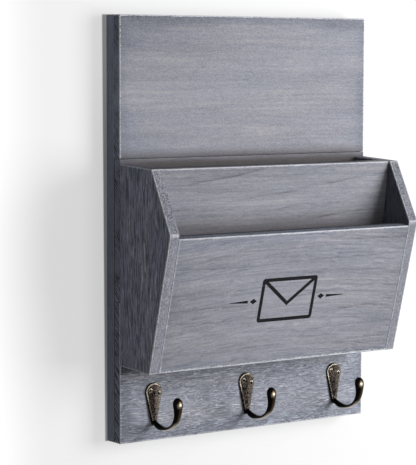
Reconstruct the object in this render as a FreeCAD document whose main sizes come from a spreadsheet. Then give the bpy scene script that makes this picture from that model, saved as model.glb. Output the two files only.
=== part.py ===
import FreeCAD, Part
import math
import os
import re
import Sketcher

# Wall mail organizer in stained boards: a backing of three boards on two rails, a pocket
# for letters with a leaning divider, and a row of three cast hooks.
# Millimetres and degrees. Heights are above the lower edge of the backing, and outs are
# measured from the boards' front face towards the room. X runs to the right, Y into the
# wall and Z up; the origin lies on the wall, midway between the two wall screws.

SIZES = {
    # Backing: three boards on two rails
    "board_length": 305.0,
    "board_height": 139.5,
    "board_thick": 11.0,
    "board_gap": 0.3,
    "rail_width": 38.0,
    "rail_thick": 13.0,
    "edge_round": 0.8,
    # Side panels of the pocket, seen from the side
    "side_thick": 11.0,
    "side_low_rear": 77.3,
    "side_low_front": 75.4,
    "side_low_out": 51.4,
    "kink_low": 208.7,
    "kink_high": 212.7,
    "kink_out": 87.0,
    "side_top_out": 55.5,
    "side_top_front": 272.2,
    "side_top_rear": 274.8,
    # Boards between the side panels
    "divider_thick": 11.0,
    "divider_lean": 7.0,
    "divider_top": 271.8,
    "divider_top_out": 54.3,
    "front_thick": 11.0,
    "front_top": 207.4,
    "floor_thick": 9.0,
    "floor_low": 79.5,
    "joint_gap": 0.1,
    # Keyholes routed into the backs of the rails
    "hang_height": 372.0,
    "keyhole_head": 4.75,
    "keyhole_neck": 2.25,
    "keyhole_travel": 12.0,
    "keyhole_deep": 9.0,
    "keyhole_lip": 3.0,
    # Hooks: the plate
    "hook_end_margin": 38.8,
    "hook_height": 48.4,
    "plate_top_radius": 9.4,
    "plate_end_radius": 2.6,
    "plate_drop": 31.0,
    "plate_edge": 1.2,
    "plate_ridge": 3.2,
    "plate_round": 0.5,
    # Hooks: the prong, whose middle line is a chain of arcs, each from one turn to the next
    "root_drop": 26.2,
    "root_out": 1.9,
    "neck_radius": 5.4,
    "bowl_radius": 31.0,
    "rise_radius": 18.0,
    "tip_radius": 30.0,
    "root_turn": -90.0,
    "neck_turn": -25.0,
    "bowl_turn": 35.0,
    "rise_turn": 78.0,
    "knob_turn": 99.0,
    "tip_turn": 111.0,
    # Hooks: the prong's oval section at each of those turns
    "root_half_width": 2.2,
    "root_half_thick": 1.2,
    "neck_half_width": 2.8,
    "neck_half_thick": 2.3,
    "bowl_half_width": 3.4,
    "bowl_half_thick": 2.0,
    "rise_half_width": 4.2,
    "rise_half_thick": 2.5,
    "knob_half_width": 5.5,
    "knob_half_thick": 3.3,
    # Fasteners
    "screw_clearance": 0.05,
    "wood_screw_radius": 1.75,
    "wood_head_radius": 3.4,
    "wood_head_deep": 2.2,
    "wood_head_sink": 0.3,
    "rail_screw_length": 20.0,
    "rail_screw_margin": 25.0,
    "side_screw_length": 40.0,
    "side_screw_low_height": 108.0,
    "side_screw_high_height": 250.0,
    "hook_screw_radius": 1.4,
    "hook_head_radius": 2.8,
    "hook_head_deep": 1.7,
    "hook_head_dome": 0.9,
    "hook_seat": 1.5,
    "hook_screw_length": 9.5,
    "hook_screw_pitch": 9.4,
    "hook_screw_rise": 0.4,
    "hook_screw_stagger": 3.1,
    "screw_tip": 2.5,
    "cross_arm": 1.6,
    "cross_width": 0.3,
    "cross_deep": 0.9,
    "brad_radius": 0.8,
    "brad_head_radius": 1.2,
    "brad_head_deep": 0.8,
    "brad_length": 28.0,
    "brad_margin": 16.0,
    # How far a cut starts and ends outside the piece that it cuts
    "cut_overrun": 1.0,
}

# Sizes worked out from the ones above, in the order in which they depend on each other
DERIVED = {
    "half_length": "board_length / 2",
    "board_step": "board_height + board_gap",
    "backing_height": "3 * board_height + 2 * board_gap",
    "face_out": "rail_thick + board_thick",
    "inner_length": "board_length - 2 * side_thick - 2 * joint_gap",
    "rail_centre": "half_length - rail_width / 2",
    "side_centre": "half_length - side_thick / 2",
    "hook_pitch": "half_length - hook_end_margin",
    "panel_slope": "(kink_out - side_low_out) / (kink_low - side_low_front)",
    "panel_lean": "atan(panel_slope)",
    "front_top_out": "side_low_out + (front_top - side_low_front) * panel_slope",
    "front_length": "(front_top - side_low_front) / cos(panel_lean)",
    "front_rear_out": "side_low_out - front_thick * cos(panel_lean)",
    "front_rear_low": "side_low_front + front_thick * sin(panel_lean)",
    "floor_top": "floor_low + floor_thick",
    "floor_low_out": "front_rear_out + (floor_low - front_rear_low) * panel_slope",
    "floor_top_out": "front_rear_out + (floor_top - front_rear_low) * panel_slope",
    "divider_low_out": "divider_top_out - (divider_top - floor_top) * tan(divider_lean)",
    "divider_length": "(divider_top - floor_top) / cos(divider_lean)",
    "plate_slope": "(plate_ridge - plate_edge) / plate_top_radius",
    "plate_span": "plate_top_radius + cut_overrun",
    "plate_reach": "plate_drop + plate_end_radius + cut_overrun",
    "neck_centre_out": "root_out + neck_radius",
    "neck_centre_rise": "-root_drop",
    "bowl_centre_out": "neck_centre_out + (neck_radius - bowl_radius) * sin(neck_turn)",
    "bowl_centre_rise": "neck_centre_rise - (neck_radius - bowl_radius) * cos(neck_turn)",
    "rise_centre_out": "bowl_centre_out + (bowl_radius - rise_radius) * sin(bowl_turn)",
    "rise_centre_rise": "bowl_centre_rise - (bowl_radius - rise_radius) * cos(bowl_turn)",
    "tip_centre_out": "rise_centre_out + (rise_radius - tip_radius) * sin(rise_turn)",
    "tip_centre_rise": "rise_centre_rise - (rise_radius - tip_radius) * cos(rise_turn)",
}

# Stretches of the prong: the turns that it runs between, and the arc that it lies on
PRONG_STRETCHES = [("root", "neck", "neck"), ("neck", "bowl", "bowl"),
                   ("bowl", "rise", "rise"), ("rise", "knob", "tip")]
# The knob closes as a dome: shares of the way from its widest section to the tip
DOME_SHARES = (0.4, 0.7, 0.88, 0.97)

# Turn of a fastener's axis about Z, by the way in which it is driven
DRIVEN_OUT = 0
DRIVEN_IN = 180
DRIVEN_RIGHT = 90
DRIVEN_LEFT = -90

Vector = FreeCAD.Vector
doc = FreeCAD.newDocument("MailOrganizer")


def make_sheet():
    """Fill the sheet: a name, and beside it the value that carries the same alias."""
    sheet = doc.addObject("Spreadsheet::Sheet", "Sizes")
    cells = {name: str(value) for name, value in SIZES.items()}
    cells.update({name: "=" + formula for name, formula in DERIVED.items()})
    for row, (name, content) in enumerate(cells.items(), start=1):
        sheet.set(f"A{row}", name)
        sheet.setAlias(f"B{row}", name)
        sheet.set(f"B{row}", content)
    doc.recompute()
    return sheet


SHEET = make_sheet()
NAMES = set(SIZES) | set(DERIVED)


def on_sheet(formula):
    """Write the sheet's name in front of each of its aliases in a formula."""
    return re.sub(r"[a-z_]+", lambda word: "Sizes." * (word[0] in NAMES) + word[0], formula)


def value(formula):
    """Work a formula out to a plain number."""
    result = SHEET.evalExpression(formula)
    return float(getattr(result, "Value", result))


def bind(item, path, formula):
    """Tie one property of an object to a formula on the sheet."""
    item.setExpression(path, on_sheet(formula))


def origin_feature(body, role):
    """Return the plane or axis of a body's own origin that has the given role."""
    return next(f for f in body.Origin.OriginFeatures if f.Role == role)


def new_body(name):
    """Start a sub-part, placed so that the wall screws' height is the origin's."""
    body = doc.addObject("PartDesign::Body", name)
    body.Label = name
    bind(body, "Placement.Base.z", "-hang_height")
    return body


def new_sketch(body, name, plane, offset=("0", "0", "0"), turn=0):
    """Lay a sketch on one of the body's planes, moved by three formulas and turned."""
    sketch = body.newObject("Sketcher::SketchObject", name)
    sketch.AttachmentSupport = [(origin_feature(body, plane), "")]
    sketch.MapMode = "FlatFace"
    start = Vector(*(value(formula) for formula in offset))
    sketch.AttachmentOffset = FreeCAD.Placement(start, FreeCAD.Rotation(Vector(0, 0, 1), turn))
    for axis, formula in zip("xyz", offset):
        if formula != "0":
            bind(sketch, f"AttachmentOffset.Base.{axis}", formula)
    return sketch


def hold_point(sketch, edge, end, across, along):
    """Fix an edge's end at two formulas, its distances from the sketch's own axes."""
    for kind, formula, axis in (("DistanceX", across, -2), ("DistanceY", along, -1)):
        if formula == "0":
            sketch.addConstraint(Sketcher.Constraint("PointOnObject", edge, end, axis))
            continue
        size = value(formula)
        if size < 0:
            link = Sketcher.Constraint(kind, edge, end, -1, 1, -size)
            bind(sketch, f"Constraints[{sketch.addConstraint(link)}]", f"-({formula})")
        else:
            link = Sketcher.Constraint(kind, -1, 1, edge, end, size)
            bind(sketch, f"Constraints[{sketch.addConstraint(link)}]", formula)


def draw_outline(sketch, corners, dome=False):
    """Draw a closed outline through corners given as formulas; a dome rounds side one."""
    points = [Vector(value(across), value(along), 0) for across, along in corners]
    count = len(points)
    for index, (start, end) in enumerate(zip(points, points[1:] + points[:1])):
        if dome and index == 0:
            sketch.addGeometry(dome_arc(start, end), False)
        else:
            sketch.addGeometry(Part.LineSegment(start, end), False)
    # A dome's arc runs counter-clockwise, from its rim to the axis
    first_end, first_start = (1, 2) if dome else (2, 1)
    sketch.addConstraint(Sketcher.Constraint("Coincident", 0, first_end, 1, 1))
    for index in range(1, count - 1):
        sketch.addConstraint(Sketcher.Constraint("Coincident", index, 2, index + 1, 1))
    sketch.addConstraint(Sketcher.Constraint("Coincident", count - 1, 2, 0, first_start))
    hold_point(sketch, 0, first_start, *corners[0])
    for index in range(1, count):
        hold_point(sketch, index, 1, *corners[index])
    if dome:
        sketch.addConstraint(Sketcher.Constraint("PointOnObject", 0, 3, -2))


def dome_arc(top, rim):
    """Arc from a rim point up to the top point of a dome centred on the V axis."""
    fall = top.y - rim.y
    radius = (rim.x ** 2 + fall ** 2) / (2 * fall)
    centre = Vector(0, top.y - radius, 0)
    rim_angle = math.atan2(rim.y - centre.y, rim.x)
    return Part.ArcOfCircle(Part.Circle(centre, Vector(0, 0, 1), radius), rim_angle, math.pi / 2)


def draw_capsule(sketch, near_radius, far_radius, reach):
    """Draw two circles on the V axis joined by their tangents; reach is signed."""
    radii = value(near_radius), value(far_radius)
    run = value(reach)
    heading = math.copysign(math.pi / 2, run)
    half = math.acos((radii[0] - radii[1]) / abs(run))
    centres = Vector(0, 0, 0), Vector(0, run, 0)

    def at(end, angle):
        return centres[end] + Vector(math.cos(angle), math.sin(angle), 0) * radii[end]

    def arc(end, start, stop):
        return Part.ArcOfCircle(Part.Circle(centres[end], Vector(0, 0, 1), radii[end]), start, stop)

    sketch.addGeometry(arc(0, heading + half, heading - half + 2 * math.pi), False)
    sketch.addGeometry(Part.LineSegment(at(0, heading + half), at(1, heading + half)), False)
    sketch.addGeometry(arc(1, heading - half, heading + half), False)
    sketch.addGeometry(Part.LineSegment(at(1, heading - half), at(0, heading - half)), False)
    for link in ((0, 1, 1, 1), (1, 2, 2, 2), (2, 1, 3, 1), (3, 2, 0, 2)):
        sketch.addConstraint(Sketcher.Constraint("Tangent", *link))
    sketch.addConstraint(Sketcher.Constraint("Coincident", 0, 3, -1, 1))
    hold_point(sketch, 2, 3, "0", reach)
    for edge, formula in ((0, near_radius), (2, far_radius)):
        index = sketch.addConstraint(Sketcher.Constraint("Radius", edge, value(formula)))
        bind(sketch, f"Constraints[{index}]", formula)


def pad(body, sketch, thickness):
    """Thicken a sketch along its own normal."""
    feature = body.newObject("PartDesign::Pad", f"{sketch.Name}_pad")
    feature.Profile = sketch
    feature.Length = value(thickness)
    bind(feature, "Length", thickness)
    sketch.Visibility = False
    doc.recompute()
    return feature


def pocket(body, sketch, deep, along_normal=False):
    """Cut a sketch into the body, against its normal unless told otherwise."""
    feature = body.newObject("PartDesign::Pocket", f"{sketch.Name}_pocket")
    feature.Profile = sketch
    feature.Length = value(deep)
    bind(feature, "Length", deep)
    feature.Reversed = along_normal
    doc.recompute()
    return feature


def round_all(body, radius):
    """Ease every arris that the body has so far."""
    base = body.Tip
    feature = body.newObject("PartDesign::Fillet", f"{body.Name}_easing")
    feature.Base = (base, [""])
    feature.UseAllEdges = True
    feature.Radius = value(radius)
    bind(feature, "Radius", radius)
    body.Tip = feature
    doc.recompute()
    return feature


def turned(body, kind, name, profile, at, heading, dome=False):
    """Turn a profile of (radius, depth) formulas about a fastener's axis."""
    sketch = new_sketch(body, f"{body.Name}_{name}", "XY_Plane", at, heading)
    corners = [(radius, "0" if deep == "0" else f"-({deep})") for radius, deep in profile]
    draw_outline(sketch, corners, dome)
    feature = body.newObject(f"PartDesign::{kind}", f"{body.Name}_{name}_turned")
    feature.Profile = sketch
    feature.ReferenceAxis = (sketch, ["V_Axis"])
    feature.Angle = 360
    doc.recompute()
    return feature


def repeat(body, name, originals, steps):
    """Repeat features on a grid; each step gives an axis, a pitch and a count."""
    if not steps:
        return
    grid = body.newObject("PartDesign::MultiTransform", f"{body.Name}_{name}_grid")
    grid.Originals = originals
    rows = []
    for axis, pitch, count in steps:
        row = doc.addObject("PartDesign::LinearPattern", f"{body.Name}_{name}_{axis}{count}")
        body.addObject(row)
        row.Direction = (origin_feature(body, f"{axis}_Axis"), [""])
        row.Occurrences = count
        bind(row, "Length", f"({pitch}) * {count - 1}")
        rows.append(row)
    grid.Transformations = rows
    body.Tip = grid
    doc.recompute()


def grown(profile, clearance="screw_clearance"):
    """Widen and deepen a fastener's profile into that of the hole it sits in."""
    return [(radius if radius == "0" else f"{radius} + {clearance}",
             deep if deep == "0" else f"{deep} + {clearance}") for radius, deep in profile]


def wood_screw(length):
    """Profile of a countersunk wood screw, from its head's top to its point."""
    return [("0", "0"), ("wood_head_radius", "0"), ("wood_screw_radius", "wood_head_deep"),
            ("wood_screw_radius", f"{length} - screw_tip"), ("0", length)]


def wood_screw_hole(length):
    """Profile of the hole for a wood screw whose head is sunk below the surface."""
    wide, thin = "wood_head_radius + screw_clearance", "wood_screw_radius + screw_clearance"
    return [("0", "-wood_head_sink - cut_overrun"), (wide, "-wood_head_sink - cut_overrun"), (wide, "0"),
            (thin, "wood_head_deep"), (thin, f"{length} - screw_tip"),
            ("0", f"{length} + screw_clearance")]


HOOK_SCREW = [("0", "0"), ("hook_head_radius", "hook_head_dome"), ("hook_head_radius", "hook_head_deep"),
              ("hook_screw_radius", "hook_head_deep"),
              ("hook_screw_radius", "hook_head_deep + hook_screw_length - screw_tip"),
              ("0", "hook_head_deep + hook_screw_length")]
HOOK_SCREW_HOLE = [("0", "-cut_overrun"), ("hook_head_radius + screw_clearance", "-cut_overrun"),
                   ("hook_head_radius + screw_clearance", "hook_head_deep"),
                   ("hook_screw_radius + screw_clearance", "hook_head_deep"),
                   ("hook_screw_radius + screw_clearance", "hook_head_deep + hook_screw_length - screw_tip"),
                   ("0", "hook_head_deep + hook_screw_length + screw_clearance")]
BRAD = [("0", "0"), ("brad_head_radius", "0"), ("brad_radius", "brad_head_deep"),
        ("brad_radius", "brad_length - screw_tip"), ("0", "brad_length")]

# Steps from one screw to the next of its kind
NEXT_HOOK_STEP = ("X", "hook_pitch", 3)
BOARD_STEP = ("Z", "board_height - 2 * rail_screw_margin", 2)
NEXT_BOARD_STEP = ("Z", "board_step", 3)
NEXT_RAIL_STEP = ("X", "2 * rail_centre", 2)


def rail_screw_at(side, board):
    """Where the lowest screw through a rail into one board starts, at its head."""
    return (f"{side} * rail_centre", "-wood_head_sink", f"rail_screw_margin + {board} * board_step")


def side_screw_at(side, height):
    """Where a screw through rail and board into a side panel's rear edge starts."""
    return f"{side} * side_centre", "-wood_head_sink", height


def screw_on_plate(side):
    """How far a hook's screw lies to the right of its plate's round end, and above it."""
    return f"{side} * hook_screw_pitch / 2", f"hook_screw_rise - {side} * hook_screw_stagger / 2"


def hook_screw_at(hook, side):
    """Where a hook's screw starts: its dome's top, in front of the plate, the left one higher."""
    across, rise = screw_on_plate(side)
    return (f"{hook} * hook_pitch + {across}", "-(face_out + hook_seat + hook_head_deep)",
            f"hook_height + {rise}")


def brad_places():
    """List the brads in one side panel as (board they hold, out, height)."""
    places = []
    for share in (0, 0.5, 1):
        up = f"(brad_margin + {share} * (front_length - 2 * brad_margin))"
        places.append(("front_panel",
                       f"side_low_out + {up} * sin(panel_lean) - front_thick / 2 * cos(panel_lean)",
                       f"side_low_front + {up} * cos(panel_lean) + front_thick / 2 * sin(panel_lean)"))
        up = f"(brad_margin + {share} * (divider_length - 2 * brad_margin))"
        places.append(("pocket_divider",
                       f"divider_low_out + {up} * sin(divider_lean) - divider_thick / 2 * cos(divider_lean)",
                       f"floor_top + {up} * cos(divider_lean) + divider_thick / 2 * sin(divider_lean)"))
    for out in ("brad_margin", "(floor_low_out + floor_top_out) / 2 - brad_margin"):
        places.append(("pocket_floor", out, "floor_low + floor_thick / 2"))
    return places


def cut_brads(body, board, side):
    """Cut the holes of the brads on one side that go through or into a piece."""
    heading = DRIVEN_RIGHT if side < 0 else DRIVEN_LEFT
    for number, (held, out, height) in enumerate(brad_places()):
        if board in (held, "all"):
            hand = "left" if side < 0 else "right"
            turned(body, "Groove", f"{hand}_brad_{number}", grown(BRAD),
                   (f"{side} * half_length", f"-(face_out + {out})", height), heading)


def make_rail(name, side):
    """A rail behind one end of the boards, with its screw holes and its keyhole."""
    body = new_body(name)
    sketch = new_sketch(body, f"{name}_front", "XZ_Plane")
    near, far = ("half_length - rail_width", "half_length")
    if side < 0:
        near, far = ("-half_length", "-(half_length - rail_width)")
    draw_outline(sketch, [(near, "0"), (far, "0"), (far, "backing_height"), (near, "backing_height")])
    pad(body, sketch, "rail_thick")
    round_all(body, "edge_round")
    hole = turned(body, "Groove", "board_hole", wood_screw_hole("rail_screw_length"),
                  rail_screw_at(side, 0), DRIVEN_OUT)
    repeat(body, "board_hole", [hole], [BOARD_STEP, NEXT_BOARD_STEP])
    for height in ("side_screw_low_height", "side_screw_high_height"):
        turned(body, "Groove", f"{height}_hole", wood_screw_hole("side_screw_length"),
               side_screw_at(side, height), DRIVEN_OUT)
    centre = f"{side} * rail_centre"
    mouth = new_sketch(body, f"{name}_mouth", "XZ_Plane", (centre, "hang_height", "0"))
    draw_circle(mouth, "keyhole_head")
    pocket(body, mouth, "keyhole_deep", along_normal=True)
    neck = new_sketch(body, f"{name}_neck", "XZ_Plane", (centre, "hang_height", "0"))
    draw_capsule(neck, "keyhole_neck", "keyhole_neck", "keyhole_travel")
    pocket(body, neck, "keyhole_deep", along_normal=True)
    room = new_sketch(body, f"{name}_room", "XZ_Plane", (centre, "hang_height", "keyhole_lip"))
    draw_capsule(room, "keyhole_head", "keyhole_head", "keyhole_travel")
    pocket(body, room, "keyhole_deep - keyhole_lip", along_normal=True)
    return body


def draw_circle(sketch, radius):
    """Draw a circle about the sketch's own centre."""
    sketch.addGeometry(Part.Circle(Vector(0, 0, 0), Vector(0, 0, 1), value(radius)), False)
    sketch.addConstraint(Sketcher.Constraint("Coincident", 0, 3, -1, 1))
    index = sketch.addConstraint(Sketcher.Constraint("Radius", 0, value(radius)))
    bind(sketch, f"Constraints[{index}]", radius)


def make_board(name, number):
    """One of the three backing boards, counted from the lowest, with its blind holes."""
    body = new_body(name)
    low, high = f"{number} * board_step", f"{number} * board_step + board_height"
    sketch = new_sketch(body, f"{name}_front", "XZ_Plane", ("0", "0", "rail_thick"))
    low = "0" if number == 0 else low
    draw_outline(sketch, [("-half_length", low), ("half_length", low),
                          ("half_length", high), ("-half_length", high)])
    pad(body, sketch, "board_thick")
    round_all(body, "edge_round")
    hole = turned(body, "Groove", "rail_hole", wood_screw_hole("rail_screw_length"),
                  rail_screw_at(-1, number), DRIVEN_OUT)
    repeat(body, "rail_hole", [hole], [BOARD_STEP, NEXT_RAIL_STEP])
    for height in ("side_screw_low_height", "side_screw_high_height"):
        if value(low) < value(height) < value(high):
            for side, hand in ((-1, "left"), (1, "right")):
                turned(body, "Groove", f"{hand}_{height}_hole", wood_screw_hole("side_screw_length"),
                       side_screw_at(side, height), DRIVEN_OUT)
    if number == 0:
        holes = [turned(body, "Groove", f"{hand}_hook_hole", HOOK_SCREW_HOLE, hook_screw_at(-1, side),
                        DRIVEN_IN) for side, hand in ((-1, "left"), (1, "right"))]
        repeat(body, "hook_hole", holes, [NEXT_HOOK_STEP])
    return body


def make_side_panel(name, side):
    """A side of the pocket: leaning front edge, small upright flat, sloping top edge."""
    body = new_body(name)
    start = "-half_length" if side < 0 else "half_length - side_thick"
    sketch = new_sketch(body, f"{name}_outline", "YZ_Plane", ("0", "0", start))
    outline = [("0", "side_low_rear"), ("side_low_out", "side_low_front"), ("kink_out", "kink_low"),
               ("kink_out", "kink_high"), ("side_top_out", "side_top_front"), ("0", "side_top_rear")]
    draw_outline(sketch, [(f"-(face_out + {out})", height) for out, height in outline])
    pad(body, sketch, "side_thick")
    round_all(body, "edge_round")
    for height in ("side_screw_low_height", "side_screw_high_height"):
        turned(body, "Groove", f"{height}_hole", wood_screw_hole("side_screw_length"),
               side_screw_at(side, height), DRIVEN_OUT)
    cut_brads(body, "all", side)
    return body


def make_cross_board(name, section):
    """A board between the side panels, from its section as (out, height) corners."""
    body = new_body(name)
    sketch = new_sketch(body, f"{name}_section", "YZ_Plane", ("0", "0", "-inner_length / 2"))
    draw_outline(sketch, [(f"-(face_out + {out})", height) for out, height in section])
    pad(body, sketch, "inner_length")
    round_all(body, "edge_round")
    for side in (-1, 1):
        cut_brads(body, name, side)
    return body


FRONT_SECTION = [
    ("side_low_out", "side_low_front"),
    ("front_top_out", "front_top"),
    ("front_top_out - front_thick * cos(panel_lean)", "front_top + front_thick * sin(panel_lean)"),
    ("front_rear_out", "front_rear_low"),
]
DIVIDER_SECTION = [
    ("divider_low_out", "floor_top"),
    ("divider_top_out", "divider_top"),
    ("divider_top_out - divider_thick * cos(divider_lean)",
     "divider_top + divider_thick * sin(divider_lean)"),
    ("divider_low_out - divider_thick / cos(divider_lean)", "floor_top"),
]
FLOOR_SECTION = [
    ("0", "floor_low"),
    ("floor_low_out", "floor_low"),
    ("floor_top_out", "floor_top"),
    ("0", "floor_top"),
]


def make_hook(name, number):
    """A cast hook: a ridged teardrop plate and a curled prong that ends in a knob."""
    plate = doc.addObject("PartDesign::Body", f"{name}_plate")
    sketch = new_sketch(plate, f"{name}_teardrop", "XZ_Plane")
    draw_capsule(sketch, "plate_top_radius", "plate_end_radius", "-plate_drop")
    pad(plate, sketch, "plate_ridge")
    for side, hand in ((-1, "left"), (1, "right")):
        slope = new_sketch(plate, f"{name}_{hand}_slope", "XY_Plane", ("0", "0", "-plate_reach"))
        outer = f"{side} * plate_span"
        draw_outline(slope, [("0", "-plate_ridge"), (outer, "-(plate_ridge - plate_slope * plate_span)"),
                             (outer, "-(plate_ridge + cut_overrun)"), ("0", "-(plate_ridge + cut_overrun)")])
        pocket(plate, slope, "plate_reach + plate_span", along_normal=True)
    round_all(plate, "plate_round")
    for side, hand in ((-1, "left"), (1, "right")):
        across, rise = screw_on_plate(side)
        turned(plate, "Groove", f"{hand}_hole", HOOK_SCREW_HOLE,
               (across, "-(hook_seat + hook_head_deep)", rise), DRIVEN_IN)
    hook = doc.addObject("Part::MultiFuse", name)
    hook.Shapes = [plate, make_prong(name)]
    hook.Refine = True
    hook.Label = name
    bind(hook, "Placement.Base.x", f"{number} * hook_pitch")
    bind(hook, "Placement.Base.y", "-face_out")
    bind(hook, "Placement.Base.z", "hook_height - hang_height")
    doc.recompute()
    return hook


def prong_sections():
    """List the prong's sections as (label, arc, turn, half width, half thickness)."""
    sections = [("root", "neck", "root_turn", "root_half_width", "root_half_thick")]
    for start, end, arc in PRONG_STRETCHES:
        pairs = [(f"{start}_{size}", f"{end}_{size}") for size in ("turn", "half_width", "half_thick")]
        sections.append((f"{start}_to_{end}", arc, *(f"({first} + {last}) / 2" for first, last in pairs)))
        sections.append((end, arc, *(last for first, last in pairs)))
    for number, share in enumerate(DOME_SHARES, start=1):
        shrink = f" * sqrt(1 - {share} ^ 2)"
        sections.append((f"dome_{number}", "tip", f"knob_turn + {share} * (tip_turn - knob_turn)",
                         "knob_half_width" + shrink, "knob_half_thick" + shrink))
    return sections


def make_prong(name):
    """Loft the prong through ellipses that stand square to its chain of arcs."""
    rings = []
    for label, arc, turn, half_width, half_thick in prong_sections():
        ring = doc.addObject("Part::Ellipse", f"{name}_{label}")
        ring.MajorRadius = value(half_width)
        ring.MinorRadius = value(half_thick)
        ring.Placement.Rotation = FreeCAD.Rotation(Vector(1, 0, 0), 90 - value(turn))
        bind(ring, "MajorRadius", half_width)
        bind(ring, "MinorRadius", half_thick)
        bind(ring, "Placement.Rotation.Angle", f"90 - ({turn})")
        bind(ring, "Placement.Base.y", f"-({arc}_centre_out + {arc}_radius * sin({turn}))")
        bind(ring, "Placement.Base.z", f"{arc}_centre_rise - {arc}_radius * cos({turn})")
        rings.append(ring)
    tip = doc.addObject("Part::Vertex", f"{name}_tip")
    bind(tip, "Y", "-(tip_centre_out + tip_radius * sin(tip_turn))")
    bind(tip, "Z", "tip_centre_rise - tip_radius * cos(tip_turn)")
    prong = doc.addObject("Part::Loft", f"{name}_prong")
    prong.Sections = rings + [tip]
    prong.Solid = True
    doc.recompute()
    return prong


def cut_cross(body, name, at, along_normal=False):
    """Cut a cross recess into a screw's head; at gives its centre and its out."""
    sketch = new_sketch(body, f"{body.Name}_{name}", "XZ_Plane", at)
    arm, width = "cross_arm", "cross_width"
    quarter = [(arm, width), (width, width), (width, arm)]
    corners = []
    for right, up in ((1, 1), (-1, 1), (-1, -1), (1, -1)):
        turned_quarter = quarter if right * up > 0 else quarter[::-1]
        corners += [(f"{right} * {across}", f"{up} * {along}") for across, along in turned_quarter]
    draw_outline(sketch, corners)
    return pocket(body, sketch, "cross_deep", along_normal)


def make_rail_screws():
    """The screws through the rails into the backing boards."""
    body = new_body("rail_screws")
    across, sunk, height = rail_screw_at(-1, 0)
    screw = turned(body, "Revolution", "screw", wood_screw("rail_screw_length"),
                   (across, sunk, height), DRIVEN_OUT)
    cross = cut_cross(body, "cross", (across, height, "wood_head_sink"), along_normal=True)
    repeat(body, "screw", [screw, cross], [BOARD_STEP, NEXT_BOARD_STEP, NEXT_RAIL_STEP])
    return body


def make_side_screws():
    """The screws through rails and boards into the side panels."""
    body = new_body("side_panel_screws")
    across, sunk, height = side_screw_at(-1, "side_screw_low_height")
    screw = turned(body, "Revolution", "screw", wood_screw("side_screw_length"),
                   (across, sunk, height), DRIVEN_OUT)
    cross = cut_cross(body, "cross", (across, height, "wood_head_sink"), along_normal=True)
    repeat(body, "screw", [screw, cross], [("Z", "side_screw_high_height - side_screw_low_height", 2),
                                           ("X", "2 * side_centre", 2)])
    return body


def make_hook_screws():
    """Two domed screws for each hook."""
    body = new_body("hook_screws")
    features = []
    for side, hand in ((-1, "left"), (1, "right")):
        across, top, height = hook_screw_at(-1, side)
        features.append(turned(body, "Revolution", f"{hand}_screw", HOOK_SCREW, (across, top, height),
                               DRIVEN_IN, dome=True))
        features.append(cut_cross(body, f"{hand}_cross",
                                  (across, height, "face_out + hook_seat + hook_head_deep")))
    repeat(body, "screw", features, [NEXT_HOOK_STEP])
    return body


def make_brads():
    """The brads through the side panels into the boards between them."""
    body = new_body("pocket_brads")
    brads = [turned(body, "Revolution", f"brad_{number}", BRAD,
                    ("-half_length", f"-(face_out + {out})", height), DRIVEN_RIGHT)
             for number, (held, out, height) in enumerate(brad_places())]
    other_side = body.newObject("PartDesign::Mirrored", "brads_other_side")
    other_side.Originals = brads
    other_side.MirrorPlane = (origin_feature(body, "YZ_Plane"), [""])
    body.Tip = other_side
    doc.recompute()
    return body


def make_all():
    """Make every sub-part of the organizer, in the order in which it is put together."""
    return [
        make_rail("left_rail", -1),
        make_rail("right_rail", 1),
        make_board("lower_back_board", 0),
        make_board("middle_back_board", 1),
        make_board("upper_back_board", 2),
        make_side_panel("left_side_panel", -1),
        make_side_panel("right_side_panel", 1),
        make_cross_board("pocket_floor", FLOOR_SECTION),
        make_cross_board("pocket_divider", DIVIDER_SECTION),
        make_cross_board("front_panel", FRONT_SECTION),
        make_hook("left_hook", -1),
        make_hook("middle_hook", 0),
        make_hook("right_hook", 1),
        make_rail_screws(),
        make_side_screws(),
        make_hook_screws(),
        make_brads(),
    ]


def check_and_write(pieces):
    """Stop on any failed object or bad shape, then write one file for each sub-part."""
    doc.recompute()
    for item in doc.Objects:
        if "Invalid" in item.State or "Error" in item.State:
            raise RuntimeError(f"{item.Name} failed: {item.State}")
    for piece in pieces:
        if piece.Shape.isNull() or not piece.Shape.isValid():
            raise RuntimeError(f"{piece.Label} has no valid shape")
    os.makedirs("parts", exist_ok=True)
    for piece in pieces:
        piece.Shape.exportStep(f"parts/{piece.Label}.step")
        print(f"{piece.Label}: {len(piece.Shape.Solids)} solids, {piece.Shape.Volume / 1000:.2f} cm3")


check_and_write(make_all())
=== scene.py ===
"""Looks of the wall mail organizer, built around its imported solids.

Lengths are metres, in the frame of the solids: X runs along the wall to the right, Y into the wall and Z up,
with the origin midway between the two wall screws. The wall's face is the plane Y = 0.
"""

import logging
import math
from dataclasses import dataclass, field, fields, replace
from enum import Enum

import bmesh
import bpy
from mathutils import Matrix, Vector


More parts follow.
